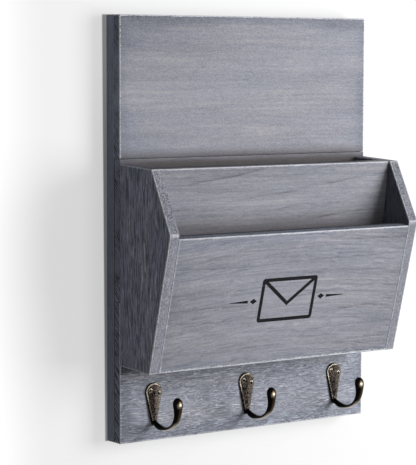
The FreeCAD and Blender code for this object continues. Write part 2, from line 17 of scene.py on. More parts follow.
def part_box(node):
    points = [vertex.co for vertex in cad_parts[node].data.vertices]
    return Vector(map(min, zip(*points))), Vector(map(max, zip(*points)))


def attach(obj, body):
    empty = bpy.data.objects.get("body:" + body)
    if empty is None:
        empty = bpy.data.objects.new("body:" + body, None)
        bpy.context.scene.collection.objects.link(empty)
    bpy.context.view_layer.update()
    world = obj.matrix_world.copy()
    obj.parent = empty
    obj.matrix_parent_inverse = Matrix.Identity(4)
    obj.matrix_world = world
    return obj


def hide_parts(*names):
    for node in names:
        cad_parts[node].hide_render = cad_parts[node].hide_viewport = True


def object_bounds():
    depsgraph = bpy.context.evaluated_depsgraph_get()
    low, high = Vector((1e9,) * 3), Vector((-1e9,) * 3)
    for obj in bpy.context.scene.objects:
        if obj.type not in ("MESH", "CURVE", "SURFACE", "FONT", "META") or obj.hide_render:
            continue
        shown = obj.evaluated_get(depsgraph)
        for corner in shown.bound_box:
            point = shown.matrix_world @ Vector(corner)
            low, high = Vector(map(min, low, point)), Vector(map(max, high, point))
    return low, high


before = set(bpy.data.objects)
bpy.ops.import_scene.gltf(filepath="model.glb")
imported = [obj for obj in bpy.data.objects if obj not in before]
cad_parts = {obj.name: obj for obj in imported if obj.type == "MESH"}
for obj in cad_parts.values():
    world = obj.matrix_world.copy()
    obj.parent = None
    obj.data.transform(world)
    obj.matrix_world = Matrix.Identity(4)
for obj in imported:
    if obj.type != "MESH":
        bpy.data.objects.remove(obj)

MM = 0.001
BODY = "root"
LOG = logging.getLogger("mail_organizer")
CAD_BOX = [list(corner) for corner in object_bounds()]

Colour = tuple[float, float, float]


def srgb(red: int, green: int, blue: int) -> Colour:
    """Turns a colour as a picture writes it, 0 to 255, into the linear one that a shader takes.

    Args:
        red: red share, 0 to 255.
        green: green share, 0 to 255.
        blue: blue share, 0 to 255.

    Returns:
        The three linear shares, 0 to 1.
    """
    def linear(share: float) -> float:
        """Undoes the picture's curve for one share."""
        return share / 12.92 if share <= 0.04045 else ((share + 0.055) / 1.055) ** 2.4

    return linear(red / 255), linear(green / 255), linear(blue / 255)


class Signal:
    """One socket that can stand in a Python expression, where each operator adds its Math node."""

    def __init__(self, bench: "Bench", socket: bpy.types.NodeSocket) -> None:
        """Keeps the socket and the bench that new nodes go to."""
        self.bench = bench
        self.socket = socket

    def math(self, operation: str, *others: "Signal | float") -> "Signal":
        """Adds a Math node with this signal first.

        Args:
            operation: the Math node's operation.
            others: the further operands.

        Returns:
            The node's result.
        """
        operands = dict(enumerate((self, *others)))
        return self.bench.node("ShaderNodeMath", {"operation": operation}, operands)

    def reflected(self, operation: str, first: float) -> "Signal":
        """Adds a Math node with a number first and this signal second."""
        return self.bench.node("ShaderNodeMath", {"operation": operation}, {0: first, 1: self})

    def __add__(self, other: "Signal | float") -> "Signal":
        """Sum."""
        return self.math("ADD", other)

    def __radd__(self, other: float) -> "Signal":
        """Sum with the number first."""
        return self.reflected("ADD", other)

    def __sub__(self, other: "Signal | float") -> "Signal":
        """Difference."""
        return self.math("SUBTRACT", other)

    def __rsub__(self, other: float) -> "Signal":
        """Difference from a number."""
        return self.reflected("SUBTRACT", other)

    def __mul__(self, other: "Signal | float") -> "Signal":
        """Product."""
        return self.math("MULTIPLY", other)

    def __rmul__(self, other: float) -> "Signal":
        """Product with the number first."""
        return self.reflected("MULTIPLY", other)

    def __truediv__(self, other: "Signal | float") -> "Signal":
        """Quotient."""
        return self.math("DIVIDE", other)

    def __pow__(self, other: "Signal | float") -> "Signal":
        """Power."""
        return self.math("POWER", other)

    def __neg__(self) -> "Signal":
        """Sign turned over."""
        return self.math("MULTIPLY", -1.0)

    def __abs__(self) -> "Signal":
        """Size without sign."""
        return self.math("ABSOLUTE")

    def step(self, low: float, high: float) -> "Signal":
        """Rises smoothly from 0 at low to 1 at high, or falls where low is above high.

        Args:
            low: where the result is 0.
            high: where the result is 1.

        Returns:
            The smooth step.
        """
        flipped = low > high
        start, stop = (high, low) if flipped else (low, high)
        risen = self.bench.node(
            "ShaderNodeMapRange",
            {"interpolation_type": "SMOOTHSTEP"},
            {"Value": self, "From Min": start, "From Max": stop},
        )
        return 1 - risen if flipped else risen

    def ramp(self, low: float, high: float) -> "Signal":
        """Rises evenly from 0 at low to 1 at high and stays there."""
        limits = {"From Min": low, "From Max": high}
        return self.bench.node("ShaderNodeMapRange", sockets={"Value": self, **limits})


class Bench:
    """A node tree under construction."""

    def __init__(self, tree: bpy.types.NodeTree) -> None:
        """Takes over an empty node tree."""
        self.tree = tree

    def node(
        self,
        kind: str,
        settings: dict[str, object] | None = None,
        sockets: dict[int | str, object] | None = None,
        output: int | str = 0,
    ) -> Signal | None:
        """Adds one node: its settings first, then the values and links of its sockets.

        Args:
            kind: the node's type.
            settings: properties of the node.
            sockets: value or signal for each input, by number or name.
            output: which output is returned, by number or name.

        Returns:
            The chosen output as a signal, or nothing from a node that ends a tree.
        """
        made = self.tree.nodes.new(kind)
        for name, value in (settings or {}).items():
            setattr(made, name, value)
        for key, value in (sockets or {}).items():
            self.feed(made.inputs[key], value)
        return Signal(self, made.outputs[output]) if made.outputs else None

    def feed(self, socket: bpy.types.NodeSocket, value: object) -> None:
        """Links a signal, or each signal of a list, to a socket, or writes a plain value on it.

        Args:
            socket: the input.
            value: signal, list of signals or plain value.
        """
        if isinstance(value, Signal):
            self.tree.links.new(value.socket, socket)
        elif isinstance(value, list):
            for signal in value:
                self.tree.links.new(signal.socket, socket)
        else:
            socket.default_value = value

    def vector(self, operation: str, first: object, second: object, output: int | str = 0) -> Signal:
        """Adds a Vector Math node on two operands."""
        return self.node("ShaderNodeVectorMath", {"operation": operation}, {0: first, 1: second}, output)

    def scaled(self, first: object, factor: Signal | float) -> Signal:
        """Multiplies a vector or colour by a number."""
        return self.node("ShaderNodeVectorMath", {"operation": "SCALE"}, {0: first, "Scale": factor})

    def joined(self, x: Signal | float, y: Signal | float, z: Signal | float) -> Signal:
        """Makes a vector of three numbers."""
        return self.node("ShaderNodeCombineXYZ", sockets={0: x, 1: y, 2: z})

    def parts(self, vector: Signal) -> tuple[Signal, Signal, Signal]:
        """Splits a vector into its three numbers."""
        split = self.node("ShaderNodeSeparateXYZ", sockets={0: vector}).socket.node
        return tuple(Signal(self, part) for part in split.outputs)

    def rays(self, *names: str) -> list[Signal]:
        """Tells which kinds of ray meet the surface, one signal for each named output."""
        path = self.node("ShaderNodeLightPath").socket.node
        return [Signal(self, path.outputs[name]) for name in names]

    def mix(self, factor: Signal | float, first: object, second: object) -> Signal:
        """Blends two colours, each a signal or three linear shares.

        Args:
            factor: share of the second colour.
            first: the colour at 0.
            second: the colour at 1.

        Returns:
            The blend.
        """
        first, second = (
            shade if isinstance(shade, Signal) else (*shade, 1.0) for shade in (first, second)
        )
        return self.node(
            "ShaderNodeMix", {"data_type": "RGBA"}, {0: factor, 6: first, 7: second}, output=2
        )


class ShaderBench(Bench):
    """A material's node tree under construction."""

    def __init__(self, name: str) -> None:
        """Starts an empty material.

        Args:
            name: the material's name.
        """
        self.material = bpy.data.materials.new(name)
        self.material.use_nodes = True
        self.material.node_tree.nodes.clear()
        super().__init__(self.material.node_tree)

    def place(self) -> Signal:
        """Point on the piece, in the object's own coordinates."""
        return self.node("ShaderNodeTexCoord", output="Object")

    def normal(self) -> Signal:
        """Direction that the surface faces."""
        return self.node("ShaderNodeNewGeometry", output="Normal")

    def noise(self, place: Signal, lump: tuple[float, float, float], detail: float = 2.0) -> Signal:
        """Smooth noise whose lumps have a given size.

        Args:
            place: where the noise is read.
            lump: length of a lump along each axis.
            detail: how many finer layers are added.

        Returns:
            A value about 0, mostly between -0.3 and 0.3.
        """
        squeezed = self.node(
            "ShaderNodeMapping", sockets={"Vector": place, "Scale": tuple(1 / size for size in lump)}
        )
        return self.node(
            "ShaderNodeTexNoise", sockets={"Vector": squeezed, "Scale": 1.0, "Detail": detail}
        ) - 0.5

    def fibrous(self, place: Signal, length: float, width: float, detail: float) -> Signal:
        """Smooth noise drawn out along the fibres, which run along X."""
        return self.noise(place, (length, width, width), detail)

    def bump(self, height: Signal, depth: float) -> Signal:
        """Turns a height into a surface normal.

        Args:
            height: relief, 0 to 1.
            depth: length that a height of 1 stands for.

        Returns:
            The normal.
        """
        return self.node("ShaderNodeBump", sockets={"Height": height, "Distance": depth})

    def finish(self, **sockets: object) -> bpy.types.Material:
        """Ends the material in a Principled BSDF.

        Args:
            sockets: value or signal for each input, with underscores for the spaces in its name.

        Returns:
            The material.
        """
        values = {name.replace("_", " "): value for name, value in sockets.items()}
        shader = self.node("ShaderNodeBsdfPrincipled", sockets=values)
        self.node("ShaderNodeOutputMaterial", sockets={"Surface": shader})
        return self.material


class ShapeBench(Bench):
    """A Geometry Nodes tree under construction, with named inputs."""

    def __init__(self, name: str) -> None:
        """Starts a tree that takes a geometry and gives one back.

        Args:
            name: the tree's name.
        """
        tree = bpy.data.node_groups.new(name, "GeometryNodeTree")
        tree.interface.new_socket("Geometry", in_out="INPUT", socket_type="NodeSocketGeometry")
        tree.interface.new_socket("Geometry", in_out="OUTPUT", socket_type="NodeSocketGeometry")
        super().__init__(tree)
        self.entry = tree.nodes.new("NodeGroupInput")

    def geometry(self) -> Signal:
        """What the modifier's object holds."""
        return Signal(self, self.entry.outputs["Geometry"])

    def size(self, name: str, kind: str = "NodeSocketFloat") -> Signal:
        """Adds a named input to the tree.

        Args:
            name: the input's name.
            kind: the socket's type.

        Returns:
            The input's value.
        """
        self.tree.interface.new_socket(name, in_out="INPUT", socket_type=kind)
        return Signal(self, self.entry.outputs[name])

    def end(self, geometry: Signal, material: Signal) -> bpy.types.NodeTree:
        """Makes the instances real, gives them their finish and closes the tree.

        Args:
            geometry: what the tree has made.
            material: its finish.

        Returns:
            The tree.
        """
        real = self.node("GeometryNodeRealizeInstances", sockets={0: geometry})
        dressed = self.node("GeometryNodeSetMaterial", sockets={"Geometry": real, "Material": material})
        self.node("NodeGroupOutput", sockets={"Geometry": dressed})
        return self.tree


@dataclass(frozen=True)
class FlatFace:
    """One large flat face of a board.

    Attributes:
        normal: direction that the face looks.
        offset: distance of its plane from the origin, along the normal.
    """

    normal: Vector
    offset: float


def flat_faces(node: str, least_area: float = 1e-4) -> list[FlatFace]:
    """Finds the large flat faces of a solid.

    Args:
        node: name of the solid.
        least_area: smallest area of a face that counts, square metres.

    Returns:
        The faces, one for each plane.
    """
    areas: dict[tuple[float, ...], float] = {}
    faces: dict[tuple[float, ...], FlatFace] = {}
    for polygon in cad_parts[node].data.polygons:
        offset = polygon.normal.dot(polygon.center)
        key = (*(round(part, 2) for part in polygon.normal), round(offset, 4))
        areas[key] = areas.get(key, 0.0) + polygon.area
        faces.setdefault(key, FlatFace(polygon.normal.copy(), offset))
    return [face for key, face in faces.items() if areas[key] > least_area]


class Grain(Enum):
    """Which way a board's fibres run, as the turn that brings them to X."""

    ACROSS = (0.0, 0.0, 0.0)
    UPRIGHT = (0.0, math.pi / 2, 0.0)


class Joined(Enum):
    """Direction of a board's face that lies against another board, so that no hand rubs its arrises."""

    LEFT = (-1.0, 0.0, 0.0)
    RIGHT = (1.0, 0.0, 0.0)
    BEHIND = (0.0, 1.0, 0.0)
    BELOW = (0.0, 0.0, -1.0)
    ABOVE = (0.0, 0.0, 1.0)


class BoardBench(ShaderBench):
    """A board's material under construction, with the places, masks and noises that its parts share.

    Attributes:
        solid: name of the board's solid.
        low: lower corner of its box.
        high: upper corner of its box.
        half_length: half of its longest side.
        spot: point on the board.
        centred: the same, counted from the board's middle.
        turned: the same, with the fibres along X.
        along: distance from the middle along the fibres.
        log: place in the log that the board was cut from.
        wavy: the same, following the wandering fibres.
        blotch: wide soft noise.
        ribbons: narrow soft noise along the fibres.
        dashes: short fine marks of the brush.
        speckle: fine even noise.
        wide: 1 on the wide faces.
        end: 1 on the ends of the fibres.
        edge: 1 on the narrow edges beside the wide faces.
    """

    # How far apart two seeds lie in the log, then the length and width of each noise's lumps.
    LOG_STEP = (0.731, 0.417, 0.293)
    WANDER = (34 * MM, 12 * MM)
    BLOTCH = (120 * MM, 30 * MM)
    SPECKLE = (1.5 * MM, 1.1 * MM)
    DASH_WIDTH = 0.9 * MM

    # A face counts where its direction's share of an axis passes from the first limit to the second.
    SQUARE_ON = (0.7, 0.9)
    LEANING = (0.5, 0.8)

    def __init__(self, solid: str, wood: "StainedWood") -> None:
        """Works out what the parts share.

        Args:
            solid: name of the board's solid.
            wood: the wood that it was cut from.
        """
        super().__init__(f"stained_wood_{solid}")
        self.solid = solid
        self.low, self.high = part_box(solid)
        self.half_length = max(self.high - self.low) / 2
        self.spot = self.place()
        self.centred = self.vector("SUBTRACT", self.spot, tuple((self.low + self.high) / 2))
        self.turned = self.node(
            "ShaderNodeMapping", sockets={"Vector": self.centred, "Rotation": wood.grain.value}
        )
        self.along = self.parts(self.turned)[0]
        self.log = self.vector("ADD", self.turned, tuple(wood.seed * step for step in self.LOG_STEP))
        wander = self.fibrous(self.log, *self.WANDER, 1.0) * 8
        wavy = self.vector("ADD", self.log, self.scaled((0.0, wood.waviness, wood.waviness), wander))
        bowed = self.joined(0.0, 0.0, self.along * self.along * wood.arch)
        self.wavy = self.vector("ADD", wavy, bowed)
        self.blotch = self.fibrous(self.log, *self.BLOTCH, 2.0)
        self.ribbons = self.fibrous(self.wavy, *wood.ribbon, 2.0)
        self.dashes = self.fibrous(self.wavy, wood.brush, self.DASH_WIDTH, 1.0)
        self.speckle = self.fibrous(self.log, *self.SPECKLE, 0.0)
        across, inward, upward = (abs(part) for part in self.parts(self.normal()))
        facing = inward.step(*self.LEANING), across.step(*self.SQUARE_ON), upward.step(*self.SQUARE_ON)
        if wood.grain is Grain.ACROSS:
            self.wide, self.end, self.edge = facing
        else:
            self.edge, self.wide, self.end = facing

    def inward(self, face: FlatFace) -> Signal:
        """Distance into the board from one of its faces."""
        height = self.vector("DOT_PRODUCT", self.spot, tuple(face.normal), output="Value")
        return face.offset - height

    def arris(self, joined: tuple[Joined, ...]) -> Signal:
        """Distance to the board's nearest free arris.

        Args:
            joined: faces that lie against another board.

        Returns:
            The second smallest distance to the board's flat faces, without the joined ones.
        """
        hidden = [Vector(side.value) for side in joined]
        free = [
            self.inward(face)
            for face in flat_faces(self.solid)
            if not any(face.normal.dot(side) > 0.9 for side in hidden)
        ]
        nearest = free[0].math("MINIMUM", free[1])
        second = free[0].math("MAXIMUM", free[1])
        for distance in free[2:]:
            second = second.math("MINIMUM", nearest.math("MAXIMUM", distance))
            nearest = nearest.math("MINIMUM", distance)
        return second


@dataclass(frozen=True)
class StainedWood:
    """Light wood, brushed, under a thin blue-grey wash.

    Attributes:
        grain: which way the fibres run.
        seed: picks the stretch of the log that the board was cut from.
        stain: mean colour of the washed face, linear.
        joined: faces that lie against another board.
        bands: strength of the wide soft bands.
        ribbons: strength of the narrow soft ribbons along the fibres.
        ribbon: length and width of such a ribbon.
        grit: strength of the fine even speckle.
        threads: strength of the long fine lines, pale and dark.
        dashes: strength of the short fine marks of the brush.
        brush: length of such a mark.
        lines: strength of the thin dark lines where a year ends.
        strokes: how much of the dark open pores shows.
        flecks: how much of the pale short flecks shows.
        fibre: length of a fleck, and half the length of a pore.
        pore: width of a pore or fleck.
        waviness: how far the fibres wander from straight.
        wear: how bright the rubbed arrises are, 0 to 1.
        heart: height of the log's middle over the board's.
        slope: how much the log's axis leans from the board's.
        arch: how strongly the fibres bow upwards in the middle, per metre.
        border: how much darker the stain is towards the outline.
        fade: how much paler the wood is at its far end than in the middle.
        dim_ends: how much darker it is evenly at both ends than in the middle.
        sweep: how much paler the left half is low down, and darker high up.
        edges: brightness of the narrow edges beside the wide faces; below 1 it is painted shade.
        edge_tint: colour that those edges lean to; the front panel's darker blue is painted shade.
        ends: brightness of the ends of the fibres.
        rear_line: width of the dark line along the rear arris, painted shade of the gap behind it on the
            front panel and divider, the dark joint on the back boards' ends.
        gloom: how much painted shade darkens the front face low down, in and above the pocket.
        gloom_span: heights where that painted shade is full and where it ends.
        shade: how much painted shade darkens the face inside the pocket.
        nook: how much painted shadow darkens the corner under the left side panel.
        foot_wear: how much wider the rubbed line is along the lower arris.
    """

    grain: Grain
    seed: int
    stain: Colour = srgb(158, 159, 169)
    joined: tuple[Joined, ...] = ()
    bands: float = 0.32
    ribbons: float = 0.2
    ribbon: tuple[float, float] = (95 * MM, 3.4 * MM)
    grit: float = 0.4
    threads: float = 0.1
    dashes: float = 0.5
    brush: float = 9 * MM
    lines: float = 0.0
    strokes: float = 0.0
    flecks: float = 0.0
    fibre: float = 9 * MM
    pore: float = 1.2 * MM
    waviness: float = 0.4 * MM
    wear: float = 0.5
    heart: float = 30 * MM
    slope: float = -0.03
    arch: float = 0.0
    border: float = 0.12
    fade: float = 0.0
    dim_ends: float = 0.0
    sweep: float = 0.0
    edges: float = 1.0
    edge_tint: Colour = srgb(158, 159, 167)
    ends: float = 1.0
    rear_line: float = 0.0
    gloom: float = 0.0
    gloom_span: tuple[float, float] = (0.0, 0.0)
    shade: float = 0.0
    nook: float = 0.0
    foot_wear: float = 0.0

    WARM = srgb(170, 165, 169)
    COOL = srgb(143, 151, 167)
    DEEP = srgb(152, 159, 185)
    # Painted shade low in and above the pocket.
    DULL = srgb(80, 72, 68)
    # Painted shadow and shade in corners and gaps, also the dark joints at the back boards' ends.
    SOAKED = srgb(24, 24, 28)
    PALE = srgb(226, 227, 234)
    PORE = srgb(38, 37, 42)
    PORE_TONE = 0.36
    FLECK_TONE = 1.95

    # Length and width of the noises' lumps.
    BAND = (260 * MM, 22 * MM)
    THREAD = (70 * MM, 1.7 * MM)
    FLECK_PATCH = (90 * MM, 22 * MM)
    PIT = (1.5 * MM, 1.0 * MM)
    HATCH = (60 * MM, 1.2 * MM, 14 * MM)
    HATCH_PATCH = (60 * MM, 60 * MM, 34 * MM)
    WOBBLE_LUMP = (190 * MM, 40 * MM)
    BREAK_LUMP = (60 * MM, 14 * MM)

    HATCH_TURN = math.radians(42)
    YEAR = 17 * MM
    YEAR_SHARPNESS = 14
    YEAR_WOBBLE = 22 * MM
    PITH = 75 * MM
    ARRIS = 1.6 * MM
    RELIEF = 0.16 * MM
    BORDER, BORDER_DRIFT = 17 * MM, 24 * MM
    END_BORDER, END_DRIFT = 26 * MM, 70 * MM

    # Each pair says where a mask is 0 and where it is 1.
    FOOT_SPAN = (9 * MM, 5 * MM)
    NOOK_SIDE = (-112 * MM, -128 * MM)
    NOOK_HEIGHT = (-308 * MM, -299 * MM)

    def material(self, node: str) -> bpy.types.Material:
        """Makes the finish for one board.

        Args:
            node: the board's solid, whose faces say where its arrises are.

        Returns:
            The material.
        """
        board = BoardBench(node, self)
        arris = board.arris(self.joined)
        colour = self.dulled(board, self.washed(board, self.outline(board, arris)))
        dark, pale, hatch = self.fibre_marks(board)
        colour = board.mix(dark, colour, board.scaled(colour, self.PORE_TONE))
        colour = board.mix(pale, colour, board.scaled(colour, self.FLECK_TONE))
        colour = board.mix(hatch * 0.85, colour, self.PORE)
        # Dark rear line: painted shade on the front panel and divider, a dark joint on the back boards.
        if self.rear_line:
            colour = board.mix(self.rear_shade_and_joint(board) * 0.9, colour, self.SOAKED)
        colour = board.mix(self.rubbed(board, arris) * self.wear, colour, self.PALE)
        relief = 0.5 + board.dashes * 0.6 + board.speckle * 0.2 - dark * 0.7 - pale * 0.2 - hatch * 0.4
        return board.finish(
            Base_Color=colour,
            Roughness=0.66 - board.dashes * 0.2 + dark * 0.1,
            Normal=board.bump(relief, self.RELIEF),
            Specular_IOR_Level=0.22,
        )

    def outline(self, board: BoardBench, arris: Signal) -> Signal:
        """Soft border along the free arrises and before the ends of the fibres.

        Args:
            board: the material under construction.
            arris: distance to the nearest free arris.

        Returns:
            Up to 1 along the outline.
        """
        beside = (arris + board.blotch * self.BORDER_DRIFT).step(self.BORDER, 0.0)
        to_end = board.half_length - abs(board.along) + board.blotch * self.END_DRIFT
        return beside.math("MAXIMUM", to_end.step(self.END_BORDER, 0.0) * board.wide * 0.35)

    def washed(self, board: BoardBench, border: Signal) -> Signal:
        """Stain as the rag left it, warmer on pale streaks, cooler and darker along the outline.

        Args:
            board: the material under construction.
            border: 1 along the outline.

        Returns:
            The colour.
        """
        warm = (board.blotch + board.ribbons).step(0.0, 0.35) * 0.4
        cool = (border * (self.border * 4) - board.blotch - board.ribbons).step(0.0, 0.45) * 0.4
        colour = board.mix(cool, board.mix(warm, self.stain, self.WARM), self.COOL)
        # Narrow edges lean to edge_tint, on the front panel a darker blue that is painted shade.
        colour = board.mix(board.edge * 0.7, board.mix(board.end * 0.6, colour, self.DEEP), self.edge_tint)
        return board.scaled(colour, self.tone(board, border))

    def tone(self, board: BoardBench, border: Signal) -> Signal:
        """Brightness of the stain over the board.

        Args:
            board: the material under construction.
            border: 1 along the outline.

        Returns:
            A factor, 1 in the mean of a wide face.
        """
        bands = board.fibrous(board.wavy, *self.BAND, 1.0)
        streaks = board.fibrous(board.wavy, *self.THREAD, 0.0)
        threads = streaks.step(0.08, 0.2) - streaks.step(-0.1, -0.22)
        tone = (
            1
            + bands * self.bands
            + board.ribbons * self.ribbons
            + threads * (self.threads * board.wide)
            + board.dashes * (self.dashes * (0.35 + board.wide * 0.65))
            + board.speckle * (self.grit + board.edge * 0.5)
            + board.blotch * 0.2
            + board.along * (self.fade / board.half_length)
            - board.along * board.along * (self.dim_ends / board.half_length**2)
            - border * self.border
            - self.year_lines(board) * self.lines
        )
        # Painted shade on the face inside the pocket.
        if self.shade:
            towards_middle = -math.copysign(1.0, board.low.x + board.high.x)
            inside = (board.parts(board.normal())[0] * towards_middle).step(*board.SQUARE_ON)
            tone = tone * (1 - inside * self.shade)
        if self.sweep:
            left_share = board.along.math("MINIMUM", 0.0) / board.half_length
            rise_share = board.parts(board.centred)[2] / ((board.high - board.low).z / 2)
            tone = tone + left_share * rise_share * self.sweep
        # Edges below 1 are painted shade, as on the tops of the front panel and divider.
        return tone * (1 - board.edge * (1 - self.edges)) * (1 - board.end * (1 - self.ends))

    def year_lines(self, board: BoardBench) -> Signal:
        """Thin dark line at the end of each year ring, cut through by the board.

        Args:
            board: the material under construction.

        Returns:
            0 between the lines, up to 1 on them.
        """
        x, y, z = board.parts(board.turned)
        wobble = board.fibrous(board.wavy, *self.WOBBLE_LUMP, 1.0) * self.YEAR_WOBBLE
        side = z + x * self.slope - self.heart
        depth = y + self.PITH
        radius = (side * side + depth * depth).math("SQRT") + wobble
        broken = board.fibrous(board.wavy, *self.BREAK_LUMP, 1.0).step(-0.15, 0.15)
        return (radius / self.YEAR).math("FRACT") ** self.YEAR_SHARPNESS * broken

    def dulled(self, board: BoardBench, colour: Signal) -> Signal:
        """Paints the shade where little light reaches: low in and above the pocket, and in the corner under
        the left side panel.

        Args:
            board: the material under construction.
            colour: the washed wood.

        Returns:
            The colour with its painted shade.
        """
        # Painted shade low on the front faces, in and above the pocket.
        if self.gloom:
            full, gone = self.gloom_span
            height = board.parts(board.spot)[2] + board.blotch * ((gone - full) * 0.4)
            front = board.parts(board.normal())[1].step(-0.5, -0.8)
            colour = board.mix(height.step(gone, full) * front * self.gloom, colour, self.DULL)
        # Painted shadow in the corner under the left side panel.
        if self.nook:
            across, _, height = board.parts(board.spot)
            corner = across.step(*self.NOOK_SIDE) * height.step(*self.NOOK_HEIGHT)
            colour = board.mix(corner * board.wide * self.nook, colour, self.SOAKED)
        return colour

    def fibre_marks(self, board: BoardBench) -> tuple[Signal, Signal, Signal]:
        """Finds the marks that the fibres leave.

        Args:
            board: the material under construction.

        Returns:
            1 in the dark open pores, on the pale flecks, and on the strokes and pits of a sawn end.
        """
        pores = board.fibrous(board.wavy, self.fibre * 2, self.pore, 2.0)
        dark = pores.step(0.01, 0.10) * (self.strokes * (1 - board.edge * 0.75))
        lifted = board.fibrous(board.wavy, self.fibre, self.pore, 1.0)
        gathered = board.fibrous(board.log, *self.FLECK_PATCH, 1.0).step(-0.14, 0.1)
        pale = lifted.step(0.05, 0.17) * (self.flecks * (1 - board.edge * 0.6)) * (gathered * 0.5 + 0.5)
        upward = board.parts(board.normal())[2]
        sawn_edge = upward.step(0.12, 0.25) + upward.step(-0.12, -0.25) * 0.3
        sawn = (1 - board.end - board.wide - board.edge) + sawn_edge * board.edge
        pits = board.fibrous(board.log, *self.PIT, 0.0).step(0.03, 0.13) * sawn.step(0.0, 1.0)
        return dark, pale, (self.end_hatch(board) * board.end).math("MAXIMUM", pits * 0.8)

    def end_hatch(self, board: BoardBench) -> Signal:
        """Dark slanting strokes on the ends of the fibres.

        Args:
            board: the material under construction.

        Returns:
            1 on a stroke.
        """
        tilted = board.node(
            "ShaderNodeMapping", sockets={"Vector": board.log, "Rotation": (self.HATCH_TURN, 0.0, 0.0)}
        )
        gathered = board.noise(board.log, self.HATCH_PATCH, 0.0).step(-0.2, 0.05)
        return board.noise(tilted, self.HATCH, 0.0).step(-0.02, 0.08) * gathered

    def rear_shade_and_joint(self, board: BoardBench) -> Signal:
        """Dark line along the rear arris: painted shade of the gap behind the front panel and divider, the
        dark joint at the back boards' ends.

        Args:
            board: the material under construction.

        Returns:
            1 on the line.
        """
        rear = max(flat_faces(board.solid), key=lambda face: face.normal.y)
        line = board.inward(rear).step(self.rear_line * 1.3, self.rear_line * 0.6)
        return line * (board.edge + board.end)

    def rubbed(self, board: BoardBench, arris: Signal) -> Signal:
        """Arrises that are rubbed pale, raggedly.

        Args:
            board: the material under construction.
            arris: distance to the nearest free arris.

        Returns:
            About 1 on the arrises.
        """
        ragged = board.dashes + board.speckle * 0.6
        reach = self.ARRIS * (1 + ragged * 1.3)
        if self.foot_wear:
            outer, inner = (board.low.z + rise for rise in self.FOOT_SPAN)
            reach = reach * (1 + board.parts(board.spot)[2].step(outer, inner) * self.foot_wear)
        return (arris / reach).step(1.0, 0.35) * (0.85 + ragged) * (1 - board.end * (1 - self.ends))


